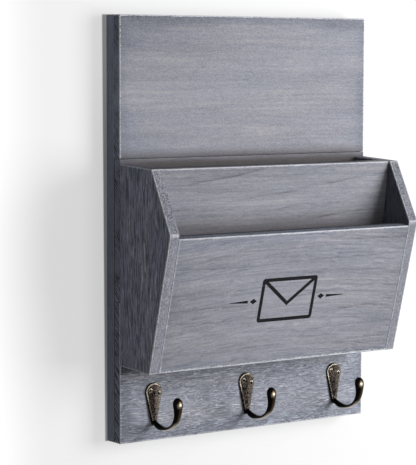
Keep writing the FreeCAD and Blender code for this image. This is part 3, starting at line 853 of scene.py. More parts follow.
@dataclass(frozen=True)
class AntiqueBrass:
    """Cast brass under a black-brown patina that is greyer where thin, with painted highlights and painted
    shade.

    Attributes:
        seed: picks the patina's pattern.
        dark: the patina where it is untouched.
        worn: the patina where it is thin.
        lifted: painted highlight on the plate's right half, which faces the lamp.
        bright: painted highlights on the plate's rim, under the prong, on the knob and on the screw domes.
        gold: painted highlight along the prong's outermost line.
        black: the rest of the prong, and painted shade on the plate's side.
    """

    seed: int = 0
    dark: Colour = srgb(14, 12, 10)
    worn: Colour = srgb(74, 66, 61)
    lifted: Colour = srgb(98, 89, 83)
    bright: Colour = srgb(176, 166, 150)
    gold: Colour = srgb(66, 51, 33)
    black: Colour = srgb(12, 10, 9)

    CLOUD, GRIT = (6 * MM, 6 * MM, 9 * MM), (1.2 * MM,) * 3
    PLATE_TOP, PLATE_END, PLATE_DROP = 9.4 * MM, 2.6 * MM, 31.0 * MM
    BEND = (20.5 * MM, 21.0 * MM)
    KNOB_RISE = 29.0 * MM
    RELIEF, SCREW_RELIEF = 0.22 * MM, 0.1 * MM

    # Each pair says where a mask is 0 and where it is 1.
    PLATE = (-4.5 * MM, -3.6 * MM)
    # PLATE_EDGE places painted shade on the plate's side; the masks after it place painted highlights.
    PLATE_EDGE = (0.6 * MM, 0.3 * MM)
    RIM_OUTER, RIM_INNER = (0.4 * MM, 0.7 * MM), (1.8 * MM, 1.4 * MM)
    UPPER_LEFT = (-2 * MM, 7 * MM)
    RIGHT_HALF = (-1 * MM, 3 * MM)
    GOLD_LEFT, GOLD_RIGHT = (-2 * MM, 1.2 * MM), (5.2 * MM, 3.4 * MM)
    KNOB_REACH = (3.6 * MM, 0.6 * MM)

    def mottled(self, bench: ShaderBench) -> tuple[Signal, Signal, Signal]:
        """Patina of the flat parts, with the two noises that it is made of.

        Args:
            bench: the material under construction.

        Returns:
            The patina's colour, its soft noise and its fine noise.
        """
        place = bench.vector("ADD", bench.place(), (self.seed * 0.31, 0.0, self.seed * 0.17))
        cloud = bench.noise(place, self.CLOUD, 2.0)
        grit = bench.noise(place, self.GRIT, 1.0)
        return bench.mix((cloud * 0.5 + grit * 1.8).step(-0.08, 0.16), self.dark, self.worn), cloud, grit

    def hook(self, node: str) -> bpy.types.Material:
        """Makes the finish of a hook: mottled plate, black prong with a painted golden highlight outside.

        Args:
            node: the hook's solid.

        Returns:
            The material.
        """
        bench = ShaderBench(f"antique_brass_{node}")
        patina, cloud, grit = self.mottled(bench)
        plate_skin = self.plate_skin(bench, node, patina, grit)
        prong_skin = self.prong_skin(bench, node, cloud)
        _, y, _ = bench.parts(bench.place())
        plate = (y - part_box(node)[1].y).step(*self.PLATE)
        return bench.finish(
            Base_Color=bench.mix(plate, prong_skin, plate_skin),
            Metallic=1.0,
            Roughness=0.2 + plate * 0.2 + cloud * 0.15,
            Normal=bench.bump(0.5 + grit * (0.25 + plate * 0.6) + cloud * 0.3, self.RELIEF),
        )

    def plate_skin(self, bench: ShaderBench, node: str, patina: Signal, grit: Signal) -> Signal:
        """Colours the plate: painted highlights on the rim and the right half, painted shade on its side.

        Args:
            bench: the material under construction.
            node: the hook's solid.
            patina: the mottled patina.
            grit: fine noise.

        Returns:
            The colour.
        """
        low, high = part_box(node)
        x, _, z = bench.parts(bench.place())
        side = x - (low.x + high.x) / 2
        drop = high.z - self.PLATE_TOP - z
        above = drop.math("MINIMUM", 0.0)
        half_width = self.PLATE_TOP - (self.PLATE_TOP - self.PLATE_END) * drop.ramp(0.0, self.PLATE_DROP)
        inside = half_width - (side * side + above * above).math("SQRT")
        rim = inside.step(*self.RIM_OUTER) * inside.step(*self.RIM_INNER)
        upper_left = (-side - drop * 0.6).step(*self.UPPER_LEFT)
        # Painted highlight: the plate's right half is paler where it faces the lamp.
        colour = bench.mix(side.step(*self.RIGHT_HALF) * (0.25 + grit), patina, self.lifted)
        # Painted highlight on the rim, strongest at the upper left.
        colour = bench.mix(rim * (0.15 + upper_left * 0.85 + grit), colour, self.bright)
        # Painted shade on the plate's side, which faces away from the front.
        turned_away = bench.parts(bench.normal())[1].step(-0.6, -0.3)
        outside = turned_away.math("MAXIMUM", inside.step(*self.PLATE_EDGE))
        return bench.mix(outside, colour, self.black)

    def prong_skin(self, bench: ShaderBench, node: str, cloud: Signal) -> Signal:
        """Colours the prong: black, with painted highlights golden along its outermost line and bright below
        and on the knob.

        Args:
            bench: the material under construction.
            node: the hook's solid.
            cloud: soft noise.

        Returns:
            The colour.
        """
        low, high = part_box(node)
        x, y, z = bench.parts(bench.place())
        _, inward, upward = bench.parts(bench.normal())
        side = x - (low.x + high.x) / 2
        out = y - (low.y + self.BEND[0])
        rise = z - (low.z + self.BEND[1])
        reach = (out * out + rise * rise).math("SQRT") + 1e-6
        outer = (inward * out + upward * rise) / reach
        # Painted highlight: gold along the prong's outer line, on the side towards the lamp.
        lit = side.step(*self.GOLD_LEFT) * side.step(*self.GOLD_RIGHT)
        thin = (outer + cloud * 0.3).step(0.62, 1.0) * upward.step(0.55, 0.1) * lit
        # Painted highlights below the prong and on the knob.
        under = upward.step(-0.5, -0.9) * 0.7
        from_knob = abs(z - (low.z + self.KNOB_RISE))
        knob = from_knob.step(*self.KNOB_REACH) * inward.step(-0.9, -0.995) * 0.35
        colour = bench.mix(thin, self.black, self.gold)
        return bench.mix(under.math("MAXIMUM", knob), colour, self.bright)

    def screw(self, name: str) -> bpy.types.Material:
        """Makes the finish of the hooks' screws: the plate's patina, with painted highlights on the domes
        and black recesses.

        Args:
            name: what the material is for.

        Returns:
            The material.
        """
        bench = ShaderBench(f"antique_brass_{name}")
        patina, cloud, grit = self.mottled(bench)
        # Painted highlight on the front of each dome.
        dome = bench.parts(bench.normal())[1].step(-0.55, -0.9) * (0.4 + grit * 1.2)
        recess = bench.node("ShaderNodeAttribute", {"attribute_name": "recess"}, output="Fac")
        return bench.finish(
            Base_Color=bench.mix(recess, bench.mix(dome, patina, self.bright), self.black),
            Metallic=1.0,
            Roughness=0.32 + cloud * 0.2,
            Normal=bench.bump(0.5 + grit * 0.5, self.SCREW_RELIEF),
        )


@dataclass(frozen=True)
class CloudedMetal:
    """Small metal part whose tint and shine drift softly from place to place.

    Attributes:
        name: name of the material.
        lump: length of one cloud.
        tints: the two colours that the tint drifts between.
        metallic: 1 for bare metal, less under stain.
        roughness: mean roughness.
        relief: height of the unevenness.
    """

    name: str
    lump: float
    tints: tuple[Colour, Colour]
    metallic: float
    roughness: float
    relief: float

    def material(self) -> bpy.types.Material:
        """Makes the finish.

        Returns:
            The material.
        """
        bench = ShaderBench(self.name)
        cloud = bench.noise(bench.place(), (self.lump,) * 3, 2.0)
        return bench.finish(
            Base_Color=bench.mix(cloud + 0.5, *self.tints),
            Metallic=self.metallic,
            Roughness=self.roughness + cloud * 0.2,
            Normal=bench.bump(cloud, self.relief),
        )


BRIGHT_ZINC = CloudedMetal(
    "zinc_steel_screws", lump=2.5 * MM, tints=(srgb(168, 172, 178), srgb(204, 203, 196)),
    metallic=1.0, roughness=0.36, relief=0.05 * MM,
)
STAINED_BRAD = CloudedMetal(
    "stained_brad_brads", lump=1.4 * MM, tints=(srgb(104, 105, 114), srgb(134, 135, 145)),
    metallic=0.2, roughness=0.6, relief=0.08 * MM,
)


@dataclass(frozen=True)
class StencilPaint:
    """Flat black paint, thin enough for the brushed fibres to break it.

    Attributes:
        paint: the paint's colour.
        thinned: its colour where the wood shines through.
        fibre: length and width of the fibres that break it.
        grit: length of the paint's own grain.
        relief: height of its unevenness.
    """

    paint: Colour = srgb(16, 16, 19)
    thinned: Colour = srgb(84, 85, 93)
    fibre: tuple[float, float] = (12 * MM, 0.9 * MM)
    grit: float = 1.0 * MM
    relief: float = 0.08 * MM

    def material(self, name: str) -> bpy.types.Material:
        """Makes the finish.

        Args:
            name: what the material is for.

        Returns:
            The material.
        """
        bench = ShaderBench(f"stencil_paint_{name}")
        place = bench.place()
        fibres = bench.fibrous(place, *self.fibre, 2.0)
        grit = bench.noise(place, (self.grit,) * 3, 1.0)
        thin = (fibres + grit * 0.6).step(0.10, 0.26)
        return bench.finish(
            Base_Color=bench.mix(thin * 0.4, self.paint, self.thinned),
            Roughness=0.75 + grit * 0.2,
            Normal=bench.bump(0.5 + fibres, self.relief),
            Specular_IOR_Level=0.12,
        )


@dataclass(frozen=True)
class StageLook:
    """Pale studio surface that is seen, and throws light back, from its front only.

    Attributes:
        glow: strength that the camera and reflections see beside the lamps' light, 1 being white.
        shown: share of the lamps' light that they see.
        lit: share of the light that bounces on, so that the pale ground doesn't light the object.
        far_glow: painted light, further strength well to the left of the object.
        near_dim: lost strength close to the object's left side, where little of the room's light falls.
        gap_dim: painted shade in the gap between object and wall, which widens upwards.
    """

    glow: float
    shown: float
    lit: float
    far_glow: float = 0.0
    near_dim: float = 0.0
    gap_dim: float = 0.0

    # Each pair says where a mask is 0 and where it is 1.
    FAR = (-215 * MM, -300 * MM)
    NEAR = (-185 * MM, -154 * MM)
    NEAR_TOP = (40 * MM, -120 * MM)
    NEAR_FOOT = (-390 * MM, -260 * MM)
    OBJECT_SIDE = (10 * MM, 0.0)

    # Width of the painted shade in the gap at the object's foot, its growth with height, and its soft
    # limits.
    GAP_WIDTH = 1.9 * MM
    GAP_SPREAD = 0.0062
    GAP_SOFT = 0.8 * MM
    GAP_END = 1 * MM

    def strength(self, bench: ShaderBench) -> Signal:
        """Glow of the surface from place to place, with the object's soft shade on it.

        Args:
            bench: the material under construction.

        Returns:
            The strength that the camera sees.
        """
        x, _, z = bench.parts(bench.place())
        (left, _, foot), (_, _, top) = CAD_BOX
        covered = x.step(*self.OBJECT_SIDE)
        beside = x.step(*self.NEAR) * covered * z.step(*self.NEAR_TOP) * z.step(*self.NEAR_FOOT)
        outside = (left - x) - self.GAP_WIDTH - (z - foot) * self.GAP_SPREAD
        gap = outside.step(self.GAP_SOFT, -self.GAP_SOFT) * covered
        gap = gap * z.step(top + self.GAP_END, top) * z.step(foot - self.GAP_END, foot)
        return self.glow + x.step(*self.FAR) * self.far_glow - beside * self.near_dim - gap * self.gap_dim

    def material(self, name: str) -> bpy.types.Material:
        """Makes the surface, which is clear from behind and throws no shadow.

        Args:
            name: name of the surface.

        Returns:
            The material.
        """
        bench = ShaderBench(name)
        camera, glossy, shadow = bench.rays("Is Camera Ray", "Is Glossy Ray", "Is Shadow Ray")
        seen = camera.math("MAXIMUM", glossy)
        behind = bench.node("ShaderNodeNewGeometry", output="Backfacing")
        colour = bench.mix(seen, (self.lit,) * 3, (self.shown,) * 3)
        glow = self.strength(bench)
        white = bench.node("ShaderNodeEmission", sockets={"Color": bench.joined(glow, glow, glow)})
        dull = bench.node("ShaderNodeBsdfDiffuse", sockets={"Color": colour})
        both = bench.node("ShaderNodeAddShader", sockets={0: dull, 1: white})
        front = bench.node("ShaderNodeMixShader", sockets={0: seen, 1: dull, 2: both})
        clear = bench.node("ShaderNodeBsdfTransparent")
        shader = bench.node(
            "ShaderNodeMixShader", sockets={0: behind.math("MAXIMUM", shadow), 1: front, 2: clear}
        )
        bench.node("ShaderNodeOutputMaterial", sockets={"Surface": shader})
        return bench.material


def take_over(piece: bpy.types.Object, slot: str, *nodes: str) -> None:
    """Lets a new piece ride on the body and hides the solids that it stands for.

    Args:
        piece: the new piece.
        slot: the record's name of its finish; not used.
        nodes: the solids.
    """
    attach(piece, BODY)
    if nodes:
        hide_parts(*nodes)
    LOG.info("made %s, %d faces", piece.name, len(piece.data.polygons))


def dress(node: str, material: bpy.types.Material) -> None:
    """Gives a solid that stays its finish.

    Args:
        node: name of the solid.
        material: the finish.
    """
    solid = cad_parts[node]
    solid.data.materials.clear()
    solid.data.materials.append(material)
    LOG.info("dressed %s", node)


@dataclass
class Boards:
    """Boards of one sub-assembly, where each field is named after a solid and holds its wood."""

    def dress(self) -> None:
        """Gives every board its finish."""
        for board in fields(self):
            wood: StainedWood = getattr(self, board.name)
            dress(board.name, wood.material(board.name))


@dataclass
class Backing(Boards):
    """The three boards of the back and the two rails that hold them."""

    upper_back_board: StainedWood = StainedWood(
        Grain.ACROSS, seed=3, stain=srgb(153, 154, 164), joined=(Joined.BELOW, Joined.BEHIND),
        bands=0.42, threads=0.04, dashes=0.35, grit=0.55, wear=0.95, border=0.19, fade=0.01, sweep=0.22,
        # Painted shade low on the front, just above the pocket.
        gloom=0.75, gloom_span=(-96 * MM, -80 * MM),
    )
    middle_back_board: StainedWood = StainedWood(
        Grain.ACROSS, seed=8, joined=(Joined.ABOVE, Joined.BELOW, Joined.BEHIND),
        # Painted shade low on the front inside the pocket; the rear line is the dark joint at the ends.
        wear=0.0, rear_line=2.3 * MM, gloom=0.8, gloom_span=(-99 * MM, -88 * MM),
    )
    lower_back_board: StainedWood = StainedWood(
        Grain.ACROSS, seed=5, stain=srgb(155, 158, 169), joined=(Joined.ABOVE, Joined.BEHIND),
        dashes=1.1, brush=15 * MM, strokes=0.5, flecks=1.25, fibre=13 * MM, pore=0.6 * MM,
        # Painted shadow in the corner under the left side panel; the rear line is the dark joint at the
        # ends.
        waviness=1.3 * MM, wear=0.7, border=0.2, fade=0.04, nook=0.8, rear_line=2.0 * MM,
    )
    left_rail: StainedWood = StainedWood(
        Grain.UPRIGHT, seed=11, stain=srgb(138, 143, 164),
        strokes=0.25, fibre=14 * MM, wear=0.1, fade=0.14, dim_ends=-0.16,
    )
    right_rail: StainedWood = replace(left_rail, seed=14, wear=0.15)


@dataclass
class Pocket(Boards):
    """Sides, floor, divider and front of the letter pocket."""

    left_side_panel: StainedWood = StainedWood(
        Grain.UPRIGHT, seed=21, stain=srgb(151, 153, 173), joined=(Joined.BEHIND, Joined.RIGHT),
        ends=0.45, strokes=1.2, flecks=1.3, fibre=12 * MM, pore=0.95 * MM, wear=0.75,
    )
    right_side_panel: StainedWood = StainedWood(
        Grain.UPRIGHT, seed=26, stain=srgb(151, 153, 173), joined=(Joined.BEHIND,),
        # Painted shade on the face inside the pocket and on the narrow edges.
        ends=0.45, strokes=0.6, flecks=0.5, fibre=7 * MM, wear=0.6, edges=0.88, shade=0.7,
    )
    pocket_floor: StainedWood = StainedWood(
        Grain.ACROSS, seed=31, joined=(Joined.LEFT, Joined.RIGHT, Joined.BEHIND), wear=0.0
    )
    pocket_divider: StainedWood = StainedWood(
        Grain.ACROSS, seed=35, stain=srgb(145, 146, 155),
        joined=(Joined.LEFT, Joined.RIGHT, Joined.BELOW, Joined.BEHIND),
        ribbons=0.32, ribbon=(140 * MM, 4.5 * MM), lines=0.5, heart=125 * MM, slope=-0.13,
        # Painted shade on the top edge, along the rear arris and low on the face.
        border=0.04, wear=0.8, edges=0.5, rear_line=4 * MM, gloom=0.55, gloom_span=(-166 * MM, -138 * MM),
    )
    front_panel: StainedWood = StainedWood(
        Grain.ACROSS, seed=52, stain=srgb(155, 156, 166), joined=(Joined.RIGHT, Joined.BEHIND),
        ribbons=0.42, ribbon=(150 * MM, 5 * MM), threads=0.14, dashes=0.35, lines=0.35,
        waviness=0.9 * MM, heart=95 * MM, slope=-0.02, arch=0.5, border=0.07, fade=-0.06, dim_ends=0.16,
        # Painted shade on the top edge and along its rear arris.
        foot_wear=0.75, edges=0.75, edge_tint=srgb(130, 139, 156), rear_line=3.2 * MM, wear=0.9,
    )


@dataclass(frozen=True)
class Seat:
    """Where one fastener sits.

    Attributes:
        head: middle of its head's outer face.
        facing: direction that the head looks.
    """

    head: Vector
    facing: Vector


def seats(node: str, facing: Vector | None = None) -> list[Seat]:
    """Reads from a solid where its separate fasteners sit.

    Args:
        node: the solid that holds them.
        facing: direction that all heads look, or nothing where each looks away from the middle plane.

    Returns:
        One seat for each fastener.
    """
    shape = bmesh.new()
    shape.from_mesh(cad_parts[node].data)
    bmesh.ops.remove_doubles(shape, verts=shape.verts, dist=1e-6)
    left = set(shape.verts)
    found: list[Seat] = []
    while left:
        island = {left.pop()}
        edge = list(island)
        while edge:
            near = {link.other_vert(vert) for vert in edge for link in vert.link_edges} & left
            left -= near
            island |= near
            edge = list(near)
        corners = [vert.co for vert in island]
        middle = Vector(
            (max(co[axis] for co in corners) + min(co[axis] for co in corners)) / 2 for axis in range(3)
        )
        look = facing or Vector((math.copysign(1.0, middle.x), 0.0, 0.0))
        reach = max((co - middle).dot(look) for co in corners)
        found.append(Seat(middle + look * reach, look))
    shape.free()
    return sorted(found, key=lambda seat: tuple(seat.head))


class FastenerTree:
    """Geometry Nodes tree that turns one fastener on a lathe and sets a copy at each seat."""

    # Shares of the cylinder's height where dome, rim, neck and shaft end and where the thread starts.
    TOP, RIM, NECK, TIP = 0.20, 0.25, 0.30, 0.90
    THREAD_START = (0.50, 0.53)
    SIDES, RINGS = 24, 80
    WELD = 5e-6
    SHARP = math.radians(35)
    TURNED = (
        "Head Radius", "Dome Height", "Rim Height", "Neck Length", "Shank Radius", "Length", "Tip Length",
        "Thread Pitch", "Thread Depth",
    )
    RECESS = ("Cross Arm", "Cross Width", "Cross Depth")

    def __init__(self) -> None:
        """Builds the tree."""
        self.bench = ShapeBench("fasteners")
        blank = self.lathed()
        made = self.bench.node(
            "GeometryNodeSwitch",
            {"input_type": "GEOMETRY"},
            {
                "Switch": self.bench.size("Crossed", "NodeSocketBool"),
                "False": blank,
                "True": self.recessed(blank),
            },
        )
        placed = self.bench.node(
            "GeometryNodeInstanceOnPoints",
            sockets={"Points": self.bench.geometry(), "Instance": made, "Rotation": self.aimed()},
        )
        self.tree = self.bench.end(placed, self.bench.size("Material", "NodeSocketMaterial"))

    def lathed(self) -> Signal:
        """Turns a cylinder into head, neck, threaded shank and point, from Z = 0 downwards.

        Returns:
            The closed mesh.
        """
        bench = self.bench
        head, dome, rim, neck, shank, length, tip, pitch, thread = map(bench.size, self.TURNED)
        blank = bench.node(
            "GeometryNodeMeshCylinder",
            sockets={"Vertices": self.SIDES, "Side Segments": self.RINGS, "Radius": 1.0, "Depth": 1.0},
        )
        x, y, z = bench.parts(bench.node("GeometryNodeInputPosition"))
        along = 0.5 - z
        crown = along.ramp(0.0, self.TOP) * (math.pi / 2)
        drawn_in = along.ramp(self.RIM, self.NECK)
        pointed = along.ramp(self.TIP, 1.0)
        shaft = (length - dome - rim - neck - tip) * along.ramp(self.NECK, self.TIP)
        depth = dome * (1 - crown.math("COSINE")) + rim * along.ramp(self.TOP, self.RIM)
        depth = depth + neck * drawn_in + shaft + tip * pointed
        lead = (depth / pitch + y.math("ARCTAN2", x) / (2 * math.pi)).math("FRACT")
        groove = abs(lead - 0.5) * 2 * thread * along.step(*self.THREAD_START)
        radius = head * crown.math("SINE") - (head - shank) * drawn_in - (shank - groove) * pointed - groove
        place = bench.joined(x * radius, y * radius, -depth)
        turned = bench.node("GeometryNodeSetPosition", sockets={"Geometry": blank, "Position": place})
        return bench.node("GeometryNodeMergeByDistance", sockets={"Geometry": turned, "Distance": self.WELD})

    def recessed(self, blank: Signal) -> Signal:
        """Sinks a cross into the head and marks the faces of its walls and floor.

        Args:
            blank: the turned fastener.

        Returns:
            The mesh with its recess.
        """
        bench = self.bench
        arm, width, deep = map(bench.size, self.RECESS)
        bars = [
            bench.node("GeometryNodeMeshCube", sockets={"Size": bench.joined(*spans, deep * 2)})
            for spans in ((arm * 2, width * 2), (width * 2, arm * 2))
        ]
        cut = bench.node(
            "GeometryNodeMeshBoolean", {"operation": "DIFFERENCE"}, {"Mesh 1": blank, "Mesh 2": bars}
        )
        x, y, z = bench.parts(bench.node("GeometryNodeInputPosition"))
        off_axis = (x * x + y * y).math("SQRT")
        below = (deep * 0.33).math("LESS_THAN", -z)
        above_floor = (deep * 1.1).math("GREATER_THAN", -z)
        in_recess = off_axis.math("LESS_THAN", arm * 1.05) * below * above_floor
        return bench.node(
            "GeometryNodeStoreNamedAttribute",
            {"data_type": "FLOAT", "domain": "FACE"},
            {"Geometry": cut, "Name": "recess", "Value": in_recess},
        )

    def aimed(self) -> Signal:
        """Turns each copy to the direction that its seat faces, and by chance about it.

        Returns:
            The rotation.
        """
        bench = self.bench
        twist, seed = bench.size("Twist"), bench.size("Seed", "NodeSocketInt")
        facing = bench.node(
            "GeometryNodeInputNamedAttribute", {"data_type": "FLOAT_VECTOR"}, {"Name": "facing"}
        )
        towards = bench.node("FunctionNodeAlignRotationToVector", {"axis": "Z"}, {"Vector": facing})
        angle = bench.node(
            "FunctionNodeRandomValue", {"data_type": "FLOAT"}, {2: -twist, 3: twist, "Seed": seed}, output=1
        )
        spin = bench.node("FunctionNodeEulerToRotation", sockets={0: bench.joined(0.0, 0.0, angle)})
        return bench.node(
            "FunctionNodeRotateRotation",
            {"rotation_space": "LOCAL"},
            {"Rotation": towards, "Rotate By": spin},
        )

    def make(self, name: str, places: list[Seat], sizes: dict[str, object]) -> bpy.types.Object:
        """Makes one group of fasteners as a plain mesh.

        Args:
            name: name of the piece.
            places: where the fasteners sit.
            sizes: value for each of the tree's named inputs.

        Returns:
            The piece.
        """
        points = bpy.data.meshes.new(f"{name}_seats")
        points.from_pydata([seat.head for seat in places], [], [])
        facing = points.attributes.new("facing", "FLOAT_VECTOR", "POINT")
        for item, seat in zip(facing.data, places):
            item.vector = seat.facing
        piece = bpy.data.objects.new(name, points)
        bpy.context.scene.collection.objects.link(piece)
        modifier = piece.modifiers.new("fasteners", "NODES")
        modifier.node_group = self.tree
        for item in self.tree.interface.items_tree:
            if item.in_out == "INPUT" and item.name in sizes:
                modifier[item.identifier] = sizes[item.name]
        graph = bpy.context.evaluated_depsgraph_get()
        mesh = bpy.data.meshes.new_from_object(piece.evaluated_get(graph), depsgraph=graph)
        piece.modifiers.clear()
        piece.data = mesh
        mesh.name = name
        mesh.shade_smooth()
        mesh.set_sharp_from_angle(angle=self.SHARP)
        bpy.data.meshes.remove(points)
        return piece


@dataclass
class Fastener:
    """Sizes of one kind of screw or brad, as its solid has them, named as the tree's inputs are.

    Attributes:
        node: the solid that holds every fastener of this kind.
        slot: the record's name of its finish.
        head_radius: radius of the head.
        shank_radius: radius of the shank, over the thread.
        length: from the head's outer face to the point.
        dome_height: height of the head's dome.
        rim_height: height of the head's upright rim.
        neck_length: length over which the head narrows to the shank.
        tip_length: length of the point.
        thread_pitch: from one turn of the thread to the next.
        thread_depth: how deep the thread is cut.
        crossed: whether the head has a cross recess.
        cross_arm: from the recess's middle to an arm's end.
        cross_width: half width of an arm.
        cross_depth: depth of the recess.
        twist: how far a head may be turned from square.
        seed: picks the turns of the heads.
        facing: direction that the heads look, or nothing where they look left and right.
    """

    node: str
    slot: str
    head_radius: float
    shank_radius: float
    length: float
    dome_height: float = 0.0
    rim_height: float = 0.0
    neck_length: float = 0.0
    tip_length: float = 2.5 * MM
    thread_pitch: float = 1.6 * MM
    thread_depth: float = 0.45 * MM
    crossed: bool = True
    cross_arm: float = 1.8 * MM
    cross_width: float = 0.6 * MM
    cross_depth: float = 0.9 * MM
    twist: float = math.pi / 4
    seed: int = 4
    facing: Vector | None = None

    def build(self, tree: FastenerTree, material: bpy.types.Material) -> None:
        """Makes the fasteners in place of their solids.

        Args:
            tree: the tree that makes them.
            material: their finish.
        """
        sizes = {name.replace("_", " ").title(): value for name, value in vars(self).items()}
        places = seats(self.node, self.facing)
        piece = tree.make(f"{self.node}_detailed", places, {**sizes, "Material": material})
        take_over(piece, self.slot, self.node)


@dataclass
class Fasteners:
    """Every screw and brad that holds the organizer together."""

    tree: FastenerTree = field(default_factory=FastenerTree)

    def dress(self) -> None:
        """Makes each kind with its finish."""
        hook_screws = Fastener(
            "hook_screws", "antique_brass", head_radius=2.8 * MM, shank_radius=1.4 * MM, length=11.2 * MM,
            dome_height=0.9 * MM, rim_height=0.8 * MM, thread_pitch=1.1 * MM, thread_depth=0.3 * MM,
            twist=math.radians(9), facing=Vector((0.0, -1.0, 0.0)),
        )
        hook_screws.build(self.tree, AntiqueBrass(seed=7).screw("hook_screws"))
        zinc = BRIGHT_ZINC.material()
        for node, length in (("rail_screws", 20 * MM), ("side_panel_screws", 40 * MM)):
            wood_screws = Fastener(
                node, "zinc_steel", head_radius=3.4 * MM, shank_radius=1.75 * MM, length=length,
                neck_length=2.2 * MM, facing=Vector((0.0, 1.0, 0.0)),
            )
            wood_screws.build(self.tree, zinc)
        brads = Fastener(
            "pocket_brads", "stained_brads", head_radius=1.2 * MM, shank_radius=0.8 * MM, length=28 * MM,
            neck_length=0.8 * MM, thread_depth=0.0, crossed=False,
        )
        brads.build(self.tree, STAINED_BRAD.material())


@dataclass
class Mark:
    """Stencilled envelope between two tapered rules, in the middle of the front panel.

    Attributes:
        envelope: width and height of the envelope.
        stroke: width of its lines.
        corner: radius of its outer corners.
        fold: how far down the flap's point reaches, as a share of the height.
        rule: length of a rule beside it.
        rule_width: width of a rule at its inner end.
        rule_tip: width of a rule at its outer end.
        diamond: half length and half height of the small diamond at a rule's inner end.
        gap: clear space between the envelope and a diamond.
        rule_gap: clear space between a diamond and its rule.
        rise: height of the mark's middle above the panel's lower arris, along the slope.
        proud: how far the paint stands out.
        sunk: how far it reaches into the wood.
    """

    envelope: tuple[float, float] = (68 * MM, 46 * MM)
    stroke: float = 3.7 * MM
    corner: float = 3.2 * MM
    fold: float = 0.60
    rule: float = 22 * MM
    rule_width: float = 3.0 * MM
    rule_tip: float = 0.5 * MM
    diamond: tuple[float, float] = (4.2 * MM, 3.024 * MM)
    gap: float = 3.6 * MM
    rule_gap: float = 2.52 * MM
    rise: float = 67 * MM
    proud: float = 0.06 * MM
    sunk: float = 0.2 * MM

    CORNER_STEPS = 6

    def rounded(self, half_width: float, half_height: float, radius: float) -> list[Vector]:
        """Draws a rectangle with round corners.

        Args:
            half_width: half of its width.
            half_height: half of its height.
            radius: radius of its corners.

        Returns:
            The outline's points.
        """
        outline = []
        for quarter, (right, up) in enumerate(((1, 1), (-1, 1), (-1, -1), (1, -1))):
            for step in range(self.CORNER_STEPS + 1):
                angle = (quarter + step / self.CORNER_STEPS) * math.pi / 2
                outline.append(
                    Vector((
                        right * (half_width - radius) + radius * math.cos(angle),
                        up * (half_height - radius) + radius * math.sin(angle),
                    ))
                )
        return outline

    def outlines(self) -> list[list[Vector]]:
        """Lists the closed outlines, where one inside another is a hole."""
        return [*self.envelope_outlines(), *self.side_outlines(-1), *self.side_outlines(1)]

    def envelope_outlines(self) -> list[list[Vector]]:
        """Draws the envelope.

        Returns:
            Its outer outline, and the holes of its flap and of its body.
        """
        half_width, half_height = self.envelope[0] / 2, self.envelope[1] / 2
        inner_width, inner_height = half_width - self.stroke, half_height - self.stroke
        point = half_height - self.fold * self.envelope[1]
        fall = (half_height - point) / half_width
        half_fold = self.stroke / 2 * math.sqrt(1 + fall * fall)
        flap_width = (inner_height - point - half_fold) / fall
        flap = [
            Vector((-flap_width, inner_height)),
            Vector((0.0, point + half_fold)),
            Vector((flap_width, inner_height)),
        ]
        shoulder = point - half_fold + fall * inner_width
        body = [
            Vector((-inner_width, -inner_height)),
            Vector((inner_width, -inner_height)),
            Vector((inner_width, shoulder)),
            Vector((0.0, point - half_fold)),
            Vector((-inner_width, shoulder)),
        ]
        return [self.rounded(half_width, half_height, self.corner), flap, body]

    def side_outlines(self, side: int) -> list[list[Vector]]:
        """Draws the diamond and the tapered rule on one side.

        Args:
            side: -1 on the left, 1 on the right.

        Returns:
            The two outlines.
        """
        half_diamond, diamond_rise = self.diamond
        centre = self.envelope[0] / 2 + self.gap + half_diamond
        start = centre + half_diamond + self.rule_gap
        diamond = [
            Vector((side * (centre - half_diamond), 0.0)),
            Vector((side * centre, diamond_rise)),
            Vector((side * (centre + half_diamond), 0.0)),
            Vector((side * centre, -diamond_rise)),
        ]
        rule = [
            Vector((side * start, self.rule_width / 2)),
            Vector((side * (start + self.rule), self.rule_tip / 2)),
            Vector((side * (start + self.rule), -self.rule_tip / 2)),
            Vector((side * start, -self.rule_width / 2)),
        ]
        return [diamond, rule]

    def build(self) -> bpy.types.Object:
        """Paints the mark as one thin closed slab on the panel's slope.

        Returns:
            The piece.
        """
        curve = bpy.data.curves.new("front_mark", "CURVE")
        curve.dimensions = "2D"
        curve.fill_mode = "BOTH"
        curve.extrude = (self.proud + self.sunk) / 2
        for outline in self.outlines():
            spline = curve.splines.new("POLY")
            spline.points.add(len(outline) - 1)
            for point, corner in zip(spline.points, outline):
                point.co = (corner.x, corner.y, 0.0, 1.0)
            spline.use_cyclic_u = True
        drawn = bpy.data.objects.new("front_mark_curve", curve)
        bpy.context.scene.collection.objects.link(drawn)
        graph = bpy.context.evaluated_depsgraph_get()
        mesh = bpy.data.meshes.new_from_object(drawn.evaluated_get(graph), depsgraph=graph)
        bpy.data.objects.remove(drawn)
        bpy.data.curves.remove(curve)
        mesh.transform(self.on_slope())
        self.close(mesh)
        piece = bpy.data.objects.new("front_mark", mesh)
        bpy.context.scene.collection.objects.link(piece)
        return piece

    def on_slope(self) -> Matrix:
        """Finds where the mark's middle lies on the front panel, and how it leans.

        Returns:
            The turn and shift that bring the mark there.
        """
        slope = max(flat_faces("front_panel"), key=lambda face: -face.normal.y)
        up = Vector((0.0, -slope.normal.z, slope.normal.y)).normalized()
        up = up if up.z > 0 else -up
        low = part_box("front_panel")[0]
        foot_out = (slope.offset - slope.normal.z * low.z) / slope.normal.y
        centre = Vector((0.0, foot_out, low.z)) + up * self.rise
        centre += slope.normal * (self.proud - self.sunk) / 2
        across = up.cross(slope.normal)
        turn = Matrix((across, up, slope.normal)).transposed().to_4x4()
        return Matrix.Translation(centre) @ turn

